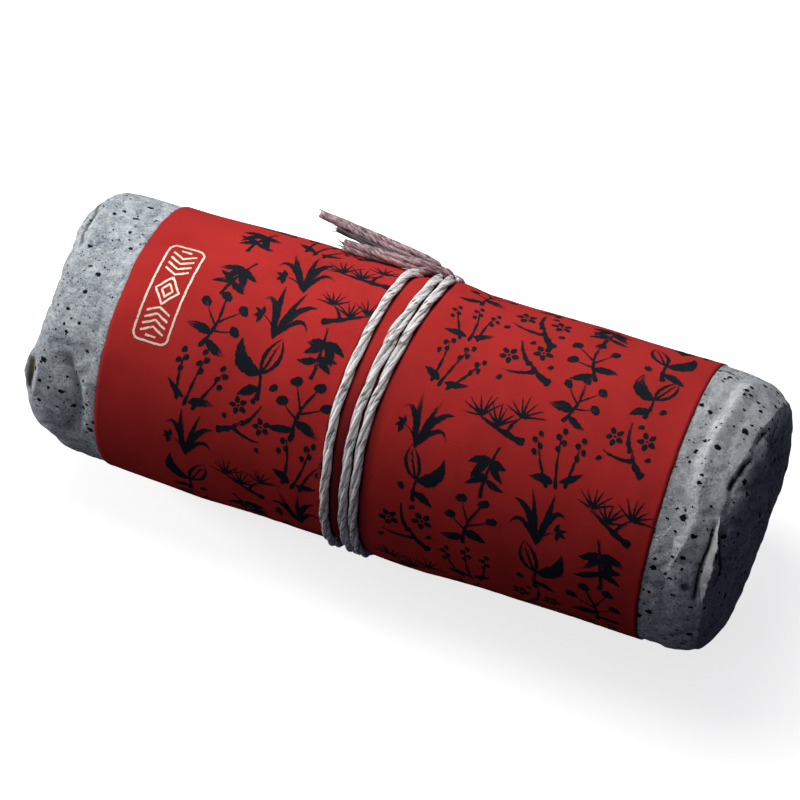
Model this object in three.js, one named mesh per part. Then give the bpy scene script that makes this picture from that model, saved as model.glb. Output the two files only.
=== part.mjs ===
// A shut roll of pressed tea, wrapped in grey handmade paper, with a printed paper band round its
// middle and three turns of string that end in a knot with two cut tails.
// The roll lies level on its side. Millimetres, +X along the roll, +Z up, floor at Z = 0.
// A place on the roll is given by x and by an angle in degrees: 0 is the top, 90 the back (+Y),
// 180 the underside and 270 (or -90) the front.

import * as THREE from 'three';

// ---- driving dimensions; x is counted from the band's middle ---------------------------------
const ROLL_RADIUS = 41;
const UNDERSIDE_PRESS = 0.6; // how much the roll's own weight flattens its underside
const BAND_WIDTH = 167.4;
const MIDDLE_OFFSET = 0.69; // from the pack's middle to the band's, so that the pack is centred
const BAND_THICKNESS = 0.5;
const BAND_PROUD = 0.2; // the band stands this far out of the bare paper
const BAND_LIFT = 0.1; // between the band and the floor
const LAYER_GAP = 0.3; // between the band and the paper under it
const STEP_WIDTH = 0.5; // of the paper's step up beside the band
const STRING_RADIUS = 1.4;
const STRING_GAP = 0.35; // between the string and the band
const STRING_OUT = 0.75; // string's centre above the bare paper
const PRESSED_REACH = 45; // degrees each side of the underside where the string may lie flat

// ---- the roll's ends: rounded shoulder, then a shallow dome with pleats ----------------------
const RIGHT_END = {
  side: 1, face: 105.2, dome: 2.4, shoulder: { length: 14.5, depth: 11 },
  slump: { length: 0, depth: 1.5, angle: 60, reach: 40 }, // the far corner is a little rounder
  waves: [{ height: 0.8, angle: 100, reach: 50 }],
};
const LEFT_END = {
  side: -1, face: 106, dome: 0, shoulder: { length: 6.5, depth: 4.8 },
  slump: { length: 13, depth: 7, angle: -134, reach: 48 }, // softer low front corner
  waves: [
    { height: 2.4, angle: 30, reach: 50 },
    { height: -1.4, angle: -30, reach: 40 },
    { height: 2.7, angle: -73, reach: 26 },
  ],
};
const END_TILT = 1; // both end faces lean, back edge towards +X
const END_TILT_ANGLE = 48;
const PLEATS = 8;
const PLEAT_DEPTH = 0.9;
const PLEAT_TWIST = 70; // degrees that a pleat winds on its way to the middle
const PLEAT_SPAN = { middle: 0.6, reach: 0.35 }; // where pleats are deep, in parts of the face
const SHOULDER_STEPS = [0, 0.3, 0.55, 0.78, 1];
const FACE_STEPS = [0.8, 0.55, 0.28];

// ---- where the wrapped pack departs from a true cylinder -------------------------------------
const LEFT_TAPER = { depth: 1.2, from: -48, to: -100 };
const KNOT_TENT = { height: 0.9, x: 4, reach: 9, angle: 47, spread: 34 };
const FRONT_BULGE = { height: 1, x: 14, reach: 24, angle: -132, spread: 44 };

// ---- angular grid: a flat strip under the roll, even steps round the rest --------------------
const AROUND = 42;
const AXIS_HEIGHT = ROLL_RADIUS - UNDERSIDE_PRESS;
const STRIP_ANGLE = THREE.MathUtils.radToDeg(Math.acos(AXIS_HEIGHT / ROLL_RADIUS));
const ANGLES = [180];
for (let i = 0; i <= AROUND; i++) {
  ANGLES.push(180 + STRIP_ANGLE + (i * (360 - 2 * STRIP_ANGLE)) / AROUND);
}

// ---- the string's lanes: [angle, x] chosen by hand, closed round the roll --------------------
const LANES = {
  left: [
    [53, -5.6], [75, -6.6], [110, -8.8], [150, -10.2], [190, -10.7], [250, -10.7], [290, -10.9],
    [316, -11.8], [350, -10.9], [376, -10.4], [395, -10.1], [401, -8.4], [406, -6.2],
  ],
  middle: [
    [53, -2.5], [75, -2.7], [110, -3.4], [150, -4.2], [190, -4.7], [250, -4.9], [290, -5.1],
    [316, -5.6], [350, -3.9], [376, -2.5], [395, -2.4], [401, -2.6], [406, -2.8],
  ],
  right: [
    [53, 0.7], [75, 0.6], [110, -0.2], [150, -1], [190, -1.5], [250, -1.7], [290, -1.9],
    [316, -2.3], [350, -0.4], [376, 0.9], [395, 1.1], [401, 0.7], [406, 0.4],
  ],
};
const TURN_ENDS = {
  left: { start: 53.5, end: 403.2 },
  middle: { start: 53.5, end: 401.7 },
  right: { start: 53, end: 403 },
};
const TURN_STEPS = 64;
const STRING_SIDES = 8;
const VALLEY_FLOOR = 1.8; // half width of the groove's floor under a lane
const VALLEY_SLOPE = 1; // width of the groove's side for each millimetre of its depth
const RIDGE_HALF_WIDTH = 0.1; // least half width of the ridge between two lanes

// ---- knot and tails --------------------------------------------------------------------------
const KNOT = {
  x: -3.4, angle: 47.5, radius: 43.2, alongX: 3.9, around: 3, outward: 2.6, lean: 0.3,
};
const KNOT_LOBES = 3;
const KNOT_LOBE_DEPTH = 0.09;
const KNOT_LOBE_TWIST = 150;
const KNOT_RINGS = 10;
const KNOT_SIDES = 16;
const UPPER_TAIL = {
  // x, angle, radius and half sizes (around, outward) from the knot to the cut tip
  rings: [
    [-7.2, 51, 44.9, 1.5, 1.4], [-10, 51, 45.2, 1.7, 1.6], [-16.5, 50, 46, 1.7, 1.7],
    [-25.5, 49, 47.2, 1.6, 1.7], [-35, 48, 48.5, 1.6, 1.7], [-43.8, 47, 49.7, 1.7, 1.8],
  ],
};
const LOWER_TAIL = {
  rings: [
    [-7.6, 46, 45, 1.3, 1.4], [-10.5, 45.5, 44.3, 1.5, 1.6], [-14, 45, 43.7, 1.6, 1.8],
    [-20, 44.5, 43.5, 1.8, 1.9], [-28, 44, 43.5, 1.9, 1.9], [-33.6, 44, 43.1, 1.5, 1.4],
  ],
};
const TAIL_SIDES = 10;

const COLOURS = { paper: 0xb7bfc6, band: 0xa92d29, string: 0xd8d2cb };

// ---- small helpers ---------------------------------------------------------------------------
const { clamp, degToRad, lerp, smoothstep } = THREE.MathUtils;

/** 1 in the middle, falling smoothly to 0 at the given reach. */
function bump(distance, reach) {
  const t = clamp(Math.abs(distance) / reach, 0, 1);
  return 0.5 + 0.5 * Math.cos(Math.PI * t);
}

/** Signed turn from one angle to another, between -180 and 180 degrees. */
function turnBetween(angle, from) {
  return THREE.MathUtils.euclideanModulo(angle - from + 180, 360) - 180;
}

/** Point at x, an angle round the roll and a distance from its axis. */
function atAngle(x, angle, radius) {
  const a = degToRad(angle);
  return new THREE.Vector3(x, radius * Math.sin(a), AXIS_HEIGHT + radius * Math.cos(a));
}

/** Closed body from rings of points; open ends are closed by a fan to the ring's middle point. */
function bodyFromRings(rings, closedLengthwise = false) {
  const sides = rings[0].length;
  const positions = rings.flat().flatMap((p) => [p.x, p.y, p.z]);
  const index = [];
  const spans = closedLengthwise ? rings.length : rings.length - 1;
  for (let i = 0; i < spans; i++) {
    const near = i * sides;
    const far = ((i + 1) % rings.length) * sides;
    for (let j = 0; j < sides; j++) {
      const k = (j + 1) % sides;
      index.push(near + j, far + j, near + k, far + j, far + k, near + k);
    }
  }
  if (!closedLengthwise) {
    const closeEnd = (ring, first, outward) => {
      const middle = ring.reduce((sum, p) => sum.add(p), new THREE.Vector3());
      middle.divideScalar(sides);
      const tip = positions.length / 3;
      positions.push(middle.x, middle.y, middle.z);
      for (let j = 0; j < sides; j++) {
        const k = (j + 1) % sides;
        if (outward) index.push(first + k, first + j, tip);
        else index.push(first + j, first + k, tip);
      }
    };
    closeEnd(rings[0], 0, false);
    closeEnd(rings.at(-1), (rings.length - 1) * sides, true);
  }
  const geometry = new THREE.BufferGeometry();
  geometry.setAttribute('position', new THREE.Float32BufferAttribute(positions, 3));
  geometry.setIndex(index);
  return geometry;
}

function paperMaterial(color) {
  return new THREE.MeshStandardMaterial({ color, roughness: 0.85, metalness: 0 });
}

function namedMesh(name, geometry, material) {
  geometry.computeVertexNormals();
  const mesh = new THREE.Mesh(geometry, material);
  mesh.name = name;
  return mesh;
}

// ---- the pack's outline ----------------------------------------------------------------------

/** 0 over the flat strip that the roll lies on, 1 away from it. */
function clearOfFloor(angle) {
  return smoothstep(Math.abs(turnBetween(angle, 180)), 22, 55);
}

/** Distance from the axis to the bare paper's surface, away from the ends. */
function packRadius(x, angle) {
  const taper = LEFT_TAPER.depth * smoothstep(-x, -LEFT_TAPER.from, -LEFT_TAPER.to);
  const tent = KNOT_TENT.height * bump(x - KNOT_TENT.x, KNOT_TENT.reach)
    * bump(turnBetween(angle, KNOT_TENT.angle), KNOT_TENT.spread);
  const bulge = FRONT_BULGE.height * bump(x - FRONT_BULGE.x, FRONT_BULGE.reach)
    * bump(turnBetween(angle, FRONT_BULGE.angle), FRONT_BULGE.spread);
  return ROLL_RADIUS - taper * clearOfFloor(angle) + tent + bulge;
}

/** x of a lane at any angle, on a smooth closed curve through its points. */
function laneX(points, angle) {
  const turn = THREE.MathUtils.euclideanModulo(angle - points[0][0], 360) + points[0][0];
  const count = points.length;
  const point = (i) => {
    const lap = Math.floor(i / count);
    const [a, x] = points[i - lap * count];
    return [a + lap * 360, x];
  };
  let i = 0;
  while (i < count - 1 && point(i + 1)[0] <= turn) i++;
  const [a0, x0] = point(i - 1);
  const [a1, x1] = point(i);
  const [a2, x2] = point(i + 1);
  const [a3, x3] = point(i + 2);
  const t = (turn - a1) / (a2 - a1);
  const startSlope = ((x2 - x0) / (a2 - a0)) * (a2 - a1);
  const endSlope = ((x3 - x1) / (a3 - a1)) * (a2 - a1);
  return (2 * t ** 3 - 3 * t ** 2 + 1) * x1 + (t ** 3 - 2 * t ** 2 + t) * startSlope
    + (3 * t ** 2 - 2 * t ** 3) * x2 + (t ** 3 - t ** 2) * endSlope;
}

/** Distance from the axis to the string's centre: pressed in flat where the roll lies on it. */
function stringRadiusAt(x, angle) {
  const free = packRadius(x, angle) + STRING_OUT;
  const fromUnderside = Math.abs(turnBetween(angle, 180));
  const pressed = (AXIS_HEIGHT - BAND_LIFT - STRING_RADIUS) / Math.cos(degToRad(fromUnderside));
  return fromUnderside < PRESSED_REACH ? Math.min(free, pressed) : free;
}

/** Depth of the string's groove below the band's outer face. */
function grooveDepth(x, angle) {
  const floor = stringRadiusAt(x, angle) - STRING_RADIUS - STRING_GAP;
  return Math.max(packRadius(x, angle) + BAND_PROUD - floor, 0);
}

/**
 * Point of one layer of the pack. A layer lies `under` millimetres inside the band's outer face;
 * `groove` is 1 on the floor of the string's groove and 0 outside it.
 */
function layerPoint(x, angle, under, groove) {
  const radius = packRadius(x, angle) + BAND_PROUD - groove * grooveDepth(x, angle) - under;
  const p = atAngle(x, angle, radius);
  p.z = Math.max(p.z, BAND_LIFT + under);
  return p;
}

/** Ring of a layer along a station, which is a function from angle to { x, groove }. */
function layerRing(station, under) {
  return ANGLES.map((angle) => {
    const { x, groove } = station(angle);
    return layerPoint(x, angle, under, groove);
  });
}

/** Stations across the middle of the pack that follow the string's lanes round it. */
function grooveStations() {
  const left = (a) => laneX(LANES.left, a);
  const middle = (a) => laneX(LANES.middle, a);
  const right = (a) => laneX(LANES.right, a);
  const slope = (a, lane) => VALLEY_SLOPE * grooveDepth(lane(a), a);
  const ridge = (a) => {
    const from = left(a) + VALLEY_FLOOR;
    const to = middle(a) - VALLEY_FLOOR;
    const half = Math.max((to - from) / 2, RIDGE_HALF_WIDTH);
    return { x: (from + to) / 2, half, groove: 1 - clamp(half / slope(a, left), 0, 1) };
  };
  return [
    (a) => ({ x: left(a) - VALLEY_FLOOR - slope(a, left), groove: 0 }),
    (a) => ({ x: left(a) - VALLEY_FLOOR, groove: 1 }),
    (a) => ({ x: ridge(a).x - ridge(a).half, groove: 1 }),
    (a) => ({ x: ridge(a).x, groove: ridge(a).groove }),
    (a) => ({ x: ridge(a).x + ridge(a).half, groove: 1 }),
    (a) => ({ x: right(a) + VALLEY_FLOOR, groove: 1 }),
    (a) => ({ x: right(a) + VALLEY_FLOOR + slope(a, right), groove: 0 }),
  ];
}

const plain = (x) => () => ({ x, groove: 0 });
const BAND_EDGE = BAND_WIDTH / 2;

/** Every station under the band, from one edge to the other. */
function bandStations(edge) {
  return [
    ...[-edge, -62, -40, -22].map(plain),
    ...grooveStations(),
    ...[10, 18, 28, 42, 62, edge].map(plain),
  ];
}

// ---- sub-parts -------------------------------------------------------------------------------

/** Rings of one end of the roll, from its shoulder to near the middle of its face. */
function endRings(end) {
  const { side, face, dome, shoulder, slump, waves } = end;
  const point = (angle, alongShoulder, towardsMiddle) => {
    const slumped = bump(turnBetween(angle, slump.angle), slump.reach);
    const length = shoulder.length + slump.length * slumped;
    const depth = shoulder.depth + slump.depth * slumped;
    const base = packRadius(side * (face - length), angle);
    const arc = (alongShoulder * Math.PI) / 2;
    const radius = (base - depth * (1 - Math.cos(arc))) * towardsMiddle;
    const waveAt = (w) => w.height * bump(turnBetween(angle, w.angle), w.reach);
    const wave = waves.reduce((sum, w) => sum + waveAt(w), 0);
    const pleatAngle = (PLEATS * (angle + PLEAT_TWIST * towardsMiddle)) / 2;
    const pleat = Math.abs(Math.sin(degToRad(pleatAngle)));
    const relief = PLEAT_DEPTH * (1 - pleat) * bump(towardsMiddle - PLEAT_SPAN.middle, PLEAT_SPAN.reach);
    const tilt = END_TILT * Math.cos(degToRad(angle - END_TILT_ANGLE)) * (radius / ROLL_RADIUS);
    const outwards = face - length * (1 - Math.sin(arc)) + dome * (1 - towardsMiddle ** 2)
      + wave * alongShoulder * towardsMiddle - relief;
    const p = atAngle(side * outwards + tilt * alongShoulder, angle, radius);
    p.z = Math.max(p.z, 0);
    return p;
  };
  const shoulderRings = SHOULDER_STEPS.map((s) => ANGLES.map((a) => point(a, s, 1)));
  const faceRings = FACE_STEPS.map((t) => ANGLES.map((a) => point(a, 1, t)));
  return [...shoulderRings, ...faceRings];
}

function makeRoll() {
  const step = BAND_PROUD + BAND_THICKNESS + LAYER_GAP;
  const bare = (x) => ANGLES.map((angle) => {
    const p = atAngle(x, angle, packRadius(x, angle));
    p.z = Math.max(p.z, 0);
    return p;
  });
  const hidden = BAND_EDGE + LAYER_GAP;
  const rings = [
    ...endRings(LEFT_END).reverse(),
    bare(-hidden - STEP_WIDTH),
    ...bandStations(hidden).map((station) => layerRing(station, step)),
    bare(hidden + STEP_WIDTH),
    ...endRings(RIGHT_END),
  ];
  return namedMesh('tea_roll', bodyFromRings(rings), paperMaterial(COLOURS.paper));
}

function makeBand() {
  const stations = bandStations(BAND_EDGE);
  const outer = stations.map((station) => layerRing(station, 0));
  const inner = stations.map((station) => layerRing(station, BAND_THICKNESS)).reverse();
  const geometry = bodyFromRings([...outer, ...inner], true);
  return namedMesh('paper_band', geometry, paperMaterial(COLOURS.band));
}

/** Route of one turn of string, by its angle round the roll. */
class TurnRoute extends THREE.Curve {
  constructor(lane) {
    super();
    this.points = LANES[lane];
    this.ends = TURN_ENDS[lane];
  }

  getPoint(t, target = new THREE.Vector3()) {
    const angle = lerp(this.ends.start, this.ends.end, t);
    const x = laneX(this.points, angle);
    return target.copy(atAngle(x, angle, stringRadiusAt(x, angle)));
  }
}

function makeTurn(lane) {
  const section = new THREE.Shape();
  for (let i = 0; i < STRING_SIDES; i++) {
    const a = (i * 2 * Math.PI) / STRING_SIDES;
    const corner = [STRING_RADIUS * Math.cos(a), STRING_RADIUS * Math.sin(a)];
    if (i === 0) section.moveTo(...corner);
    else section.lineTo(...corner);
  }
  const geometry = new THREE.ExtrudeGeometry(section, {
    steps: TURN_STEPS,
    bevelEnabled: false,
    extrudePath: new TurnRoute(lane),
  });
  return namedMesh(`string_turn_${lane}`, geometry, paperMaterial(COLOURS.string));
}

/** Lobed lump of knotted string that sits over the lanes. */
function makeKnot() {
  const rings = [];
  for (let i = 1; i < KNOT_RINGS; i++) {
    const t = i / KNOT_RINGS;
    const across = Math.sin(Math.PI * t);
    const x = KNOT.x - KNOT.alongX * Math.cos(Math.PI * t);
    const crown = KNOT.outward - KNOT.lean * (x - KNOT.x);
    const ring = [];
    for (let j = 0; j < KNOT_SIDES; j++) {
      const a = (j * 360) / KNOT_SIDES;
      const lobe = Math.cos(degToRad(KNOT_LOBES * a + KNOT_LOBE_TWIST * t));
      const size = across * (1 + KNOT_LOBE_DEPTH * lobe);
      const sideways = KNOT.around * size * Math.sin(degToRad(a));
      const upright = Math.cos(degToRad(a));
      const outward = (upright > 0 ? crown : KNOT.outward) * size * upright;
      const angle = KNOT.angle + THREE.MathUtils.radToDeg(sideways / KNOT.radius);
      ring.push(atAngle(x, angle, KNOT.radius + outward));
    }
    rings.push(ring);
  }
  return namedMesh('string_knot', bodyFromRings(rings), paperMaterial(COLOURS.string));
}

/** Cut end of the string: rings of an oval section from the knot outwards. */
function makeTail(name, { rings }) {
  const sections = rings.map(([x, angle, radius, halfAround, halfOutward]) => {
    const ring = [];
    for (let j = 0; j < TAIL_SIDES; j++) {
      const a = (j * 2 * Math.PI) / TAIL_SIDES;
      const turn = THREE.MathUtils.radToDeg((halfAround * Math.sin(a)) / radius);
      ring.push(atAngle(x, angle + turn, radius + halfOutward * Math.cos(a)));
    }
    return ring;
  });
  return namedMesh(name, bodyFromRings(sections.reverse()), paperMaterial(COLOURS.string));
}

const teaRoll = new THREE.Group();
teaRoll.position.x = MIDDLE_OFFSET;
teaRoll.add(
  makeRoll(),
  makeBand(),
  ...Object.keys(LANES).map(makeTurn),
  makeKnot(),
  makeTail('string_tail_upper', UPPER_TAIL),
  makeTail('string_tail_lower', LOWER_TAIL),
);

export default teaRoll;
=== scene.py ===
"""Looks of a shut roll of pressed tea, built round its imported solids.

Grey handmade paper, a red paper band with brush marks and a gold ornament, and three turns of twine
with their knot and two cut ends. Shapes are worked out in millimetres, as the solids are: x runs
along the roll from the band's middle, and an angle in degrees runs round it, 0 at the top, 90 at the
back, 180 underneath and 270 (or -90) at the front. Meshes are in metres, in the frame's own axes.
"""

import math

import bpy
import numpy as np
from mathutils import Matrix, Vector


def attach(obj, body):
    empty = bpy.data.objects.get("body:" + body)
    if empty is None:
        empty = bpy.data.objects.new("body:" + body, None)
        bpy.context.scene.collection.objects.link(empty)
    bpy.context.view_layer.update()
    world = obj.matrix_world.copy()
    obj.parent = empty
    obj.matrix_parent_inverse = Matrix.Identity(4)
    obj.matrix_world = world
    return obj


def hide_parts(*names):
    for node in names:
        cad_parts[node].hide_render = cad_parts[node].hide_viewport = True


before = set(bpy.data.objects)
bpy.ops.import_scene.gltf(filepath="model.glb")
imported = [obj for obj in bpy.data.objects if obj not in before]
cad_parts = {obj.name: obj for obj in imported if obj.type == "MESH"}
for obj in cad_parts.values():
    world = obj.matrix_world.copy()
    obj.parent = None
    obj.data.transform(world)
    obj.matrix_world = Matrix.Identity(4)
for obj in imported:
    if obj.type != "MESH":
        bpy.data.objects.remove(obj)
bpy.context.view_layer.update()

MM = 0.001

# ---- camera, light and floor
CAMERA_PLACE = (0.20507, -0.52160, 0.73730)
CAMERA_RIGHT = (0.92868, 0.37089, 0.0)
CAMERA_FORWARD = (-0.23404, 0.58601, -0.77577)
CAMERA_LENS = 137.25
CAMERA_SENSOR = 36.0

LIGHTS = {
    "key": {"place": (-0.055, 0.067, 0.295), "size": 0.28, "watts": 0.62, "colour": (1.0, 0.985, 0.96)},
    "side": {"place": (-0.95, -0.01, 0.20), "size": 0.25, "watts": 5.3, "colour": (1.0, 0.99, 0.975)},
    "front_fill": {"place": (-0.15, -0.26, 0.18), "size": 0.30, "watts": 0.14, "colour": (1.0, 0.96, 0.98)},
    "back_fill": {"place": (0.0, 0.62, 0.26), "size": 0.50, "watts": 0.7, "colour": (0.96, 0.98, 1.0)},
}
WORLD_COLOUR = (0.39, 0.37, 0.57)
WORLD_FROM_BELOW, WORLD_FROM_ABOVE = 0.03, 0.10
FLOOR_HALF = 3.0
FLOOR_COLOUR = (0.86, 0.86, 0.87)
FLOOR_GLOW = 0.74

# ---- the pack's shape, as its solids have it
ROLL_RADIUS = 41.0
AXIS_HEIGHT = 40.4
BAND_EDGE = 83.7
MIDDLE_OFFSET = 0.69
BAND_PROUD = 0.2
BAND_LIFT = 0.1
BAND_SHEET = 0.34
PAPER_UNDER_BAND = 0.9
STRING_RADIUS = 1.4
STRING_OUT = 0.75
STRING_GAP = 0.12
PRESSED_REACH = 45
LEFT_TAPER = {"depth": 1.2, "from": 48, "to": 100}
# How far from the underside, in degrees, the taper sets in and is whole.
TAPER_CLEAR = (22, 55)
# Half width of a string's groove at its floor and at the surface, each as (width, gain by depth).
GROOVE_FLOOR, GROOVE_MOUTH = (0.3, 0.2), (1.5, 1.0)
KNOT_TENT = {"height": 0.9, "x": 4, "reach": 9, "angle": 47, "spread": 34}
FRONT_BULGE = {"height": 1, "x": 14, "reach": 24, "angle": -132, "spread": 44}
END_TILT = 1.0
END_TILT_ANGLE = 48
PLEATS = 8
PLEAT_DEPTH = 0.9
PLEAT_TWIST = 70
PLEAT_MIDDLE = 0.6
PLEAT_REACH = 0.35
RIGHT_END = {
    "side": 1, "face": 105.2, "dome": 2.4, "shoulder_length": 14.5, "shoulder_depth": 11,
    "slump": {"length": 0, "depth": 1.5, "angle": 60, "reach": 40},
    "waves": [(0.8, 100, 50)],
}
LEFT_END = {
    "side": -1, "face": 106, "dome": 0, "shoulder_length": 6.5, "shoulder_depth": 4.8,
    "slump": {"length": 13, "depth": 7, "angle": -134, "reach": 48},
    "waves": [(2.4, 30, 50), (-1.4, -30, 40), (2.7, -73, 26)],
}
LANES = {
    "left": [
        (53, -5.6), (75, -6.6), (110, -8.8), (150, -10.2), (190, -10.7), (250, -10.7), (290, -10.9),
        (316, -11.8), (350, -10.9), (376, -10.4), (395, -10.1), (401, -8.4), (406, -6.2),
    ],
    "middle": [
        (53, -2.5), (75, -2.7), (110, -3.4), (150, -4.2), (190, -4.7), (250, -4.9), (290, -5.1),
        (316, -5.6), (350, -3.9), (376, -2.5), (395, -2.4), (401, -2.6), (406, -2.8),
    ],
    "right": [
        (53, 0.7), (75, 0.6), (110, -0.2), (150, -1), (190, -1.5), (250, -1.7), (290, -1.9),
        (316, -2.3), (350, -0.4), (376, 0.9), (395, 1.1), (401, 0.7), (406, 0.4),
    ],
}


def smoothstep(value, low, high):
    """0 up to low and 1 from high on, with a smooth rise between."""
    t = np.clip((value - low) / (high - low), 0, 1)
    return t * t * (3 - 2 * t)


def bump(distance, reach):
    """1 in the middle, falling smoothly to 0 at the given reach."""
    return 0.5 + 0.5 * np.cos(np.pi * np.clip(np.abs(distance) / reach, 0, 1))


def turn_between(angle, start):
    """Signed turn from one angle to another, between -180 and 180 degrees."""
    return (angle - start + 180) % 360 - 180


def at_angle(x, angle, radius):
    """Points at x, an angle round the roll and a distance from its axis."""
    a = np.radians(angle)
    x, y, z = np.broadcast_arrays(x, radius * np.sin(a), AXIS_HEIGHT + radius * np.cos(a))
    return np.stack([x, y, z], -1)


def not_below(points, height):
    """Points, moved up to a height where they lie under it."""
    return np.maximum(points, [-np.inf, -np.inf, height])


def pack_radius(x, angle):
    """Distance from the axis to the bare paper, away from the ends."""
    clear_of_floor = smoothstep(np.abs(turn_between(angle, 180)), *TAPER_CLEAR)
    taper = LEFT_TAPER["depth"] * smoothstep(-x, LEFT_TAPER["from"], LEFT_TAPER["to"])
    swell = 0
    for form in (KNOT_TENT, FRONT_BULGE):
        swell = swell + (form["height"] * bump(x - form["x"], form["reach"])
                         * bump(turn_between(angle, form["angle"]), form["spread"]))
    return ROLL_RADIUS - taper * clear_of_floor + swell


def lane_x(lane, angle):
    """x of a string's lane at any angle, on a smooth closed curve through its points."""
    angles, xs = np.array(lane, float).T
    before = np.concatenate([[angles[-1] - 360], angles, angles[:2] + 360])
    values = np.concatenate([[xs[-1]], xs, xs[:2]])
    turn = (angle - angles[0]) % 360 + angles[0]
    i = np.clip(np.searchsorted(angles, turn, side="right"), 1, len(angles))
    a0, a1, a2, a3 = (before[i + k] for k in (-1, 0, 1, 2))
    x0, x1, x2, x3 = (values[i + k] for k in (-1, 0, 1, 2))
    t = (turn - a1) / (a2 - a1)
    start_slope = (x2 - x0) / (a2 - a0) * (a2 - a1)
    end_slope = (x3 - x1) / (a3 - a1) * (a2 - a1)
    return ((2 * t**3 - 3 * t**2 + 1) * x1 + (t**3 - 2 * t**2 + t) * start_slope
            + (3 * t**2 - 2 * t**3) * x2 + (t**3 - t**2) * end_slope)


def string_radius(x, angle):
    """Distance from the axis to the string's centre: pressed in flat where the roll lies on it."""
    free = pack_radius(x, angle) + STRING_OUT
    from_underside = np.abs(turn_between(angle, 180))
    level = AXIS_HEIGHT - BAND_LIFT - STRING_RADIUS
    pressed = level / np.cos(np.radians(np.minimum(from_underside, PRESSED_REACH)))
    return np.where(from_underside < PRESSED_REACH, np.minimum(free, pressed), free)


def groove_depth(x, angle):
    """How deep the three turns press the pack in at a place."""
    deepest = 0
    for lane in LANES.values():
        centre = lane_x(lane, angle)
        floor = string_radius(centre, angle) - STRING_RADIUS - STRING_GAP
        depth = np.maximum(pack_radius(centre, angle) + BAND_PROUD - floor, 0)
        inner, outer = (width + gain * depth for width, gain in (GROOVE_FLOOR, GROOVE_MOUTH))
        deepest = np.maximum(deepest, depth * (1 - smoothstep(np.abs(x - centre), inner, outer)))
    return deepest


def end_surface(end, station, angle):
    """Points of one end of the bare paper. The station runs 0 to 1 from the band's edge along the
    side, 1 to 2 round the shoulder and 2 to 3 across the face to its middle."""
    side, slump = end["side"], end["slump"]
    slumped = bump(turn_between(angle, slump["angle"]), slump["reach"])
    length = end["shoulder_length"] + slump["length"] * slumped
    depth = end["shoulder_depth"] + slump["depth"] * slumped
    shoulder_start = end["face"] - length
    x_side = BAND_EDGE + (shoulder_start - BAND_EDGE) * np.clip(station, 0, 1)
    along_shoulder = np.clip(station - 1, 0, 1)
    towards_middle = 1 - np.clip(station - 2, 0, 1)
    arc = along_shoulder * np.pi / 2
    round_radius = pack_radius(side * shoulder_start, angle) - depth * (1 - np.cos(arc))
    on_side = station < 1
    radius = np.where(on_side, pack_radius(side * x_side, angle), round_radius * towards_middle)
    wave = sum(h * bump(turn_between(angle, a), reach) for h, a, reach in end["waves"])
    pleat = np.abs(np.sin(np.radians(PLEATS * (angle + PLEAT_TWIST * towards_middle) / 2)))
    relief = PLEAT_DEPTH * (1 - pleat) * bump(towards_middle - PLEAT_MIDDLE, PLEAT_REACH)
    outwards = (end["face"] - length * (1 - np.sin(arc)) + end["dome"] * (1 - towards_middle**2)
                + wave * along_shoulder * towards_middle - relief)
    tilt = END_TILT * np.cos(np.radians(angle - END_TILT_ANGLE)) * radius / ROLL_RADIUS
    x = np.where(on_side, side * x_side, side * outwards + tilt * along_shoulder)
    return at_angle(x, angle, radius)


# ---- relief
# Cells on each side of the block that the crumple is drawn from, and how wide its creases are,
# as a share of a cell.
CRUMPLE_GRID = 40
CRUMPLE_SOFTNESS = 0.3


def waves(points, wavelength, seed, count=22):
    """Smooth random relief, about -1 to 1, from sine waves in random directions."""
    draw = np.random.default_rng(seed)
    ways = draw.normal(size=(count, 3))
    ways /= np.linalg.norm(ways, axis=1)[:, None]
    steps = 2 * np.pi / (wavelength * draw.uniform(0.7, 1.5, count))
    phases = draw.uniform(0, 2 * np.pi, count)
    flat = points.reshape(-1, 3)
    total = np.sin(flat @ (ways * steps[:, None]).T + phases).sum(1) * math.sqrt(2 / count) / 2
    return total.reshape(points.shape[:-1])


def layered_waves(points, layers):
    """Sum of waves, each given by its height, wavelength and seed."""
    return sum(height * waves(points, wavelength, seed) for height, wavelength, seed in layers)


def crumple(points, cell, seed):
    """Net of soft creases between random flat cells: 1 on a crease, 0 inside a cell."""
    flat = points.reshape(-1, 3) / cell + CRUMPLE_GRID / 2
    home = flat.astype(int)
    jitter = np.random.default_rng(seed).uniform(size=(CRUMPLE_GRID,) * 3 + (3,))
    nearest = np.full((len(flat), 2), np.inf)
    for step in np.ndindex(3, 3, 3):
        cells = home + step - 1
        distance = np.linalg.norm(flat - cells - jitter[tuple(cells.T)], axis=1)
        nearest = np.sort(np.column_stack([nearest, distance]), axis=1)[:, :2]
    fold = 1 - smoothstep(nearest[:, 1] - nearest[:, 0], 0, CRUMPLE_SOFTNESS)
    return fold.reshape(points.shape[:-1])


def grid_normals(points):
    """Unit normals of a grid whose rows run along the roll and whose columns go round it."""
    ring = np.concatenate([points[:, -1:], points, points[:, :1]], 1)
    normals = np.cross(np.gradient(points, axis=0), ring[:, 2:] - ring[:, :-2])
    return normals / np.maximum(np.linalg.norm(normals, axis=-1, keepdims=True), 1e-9)


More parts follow.
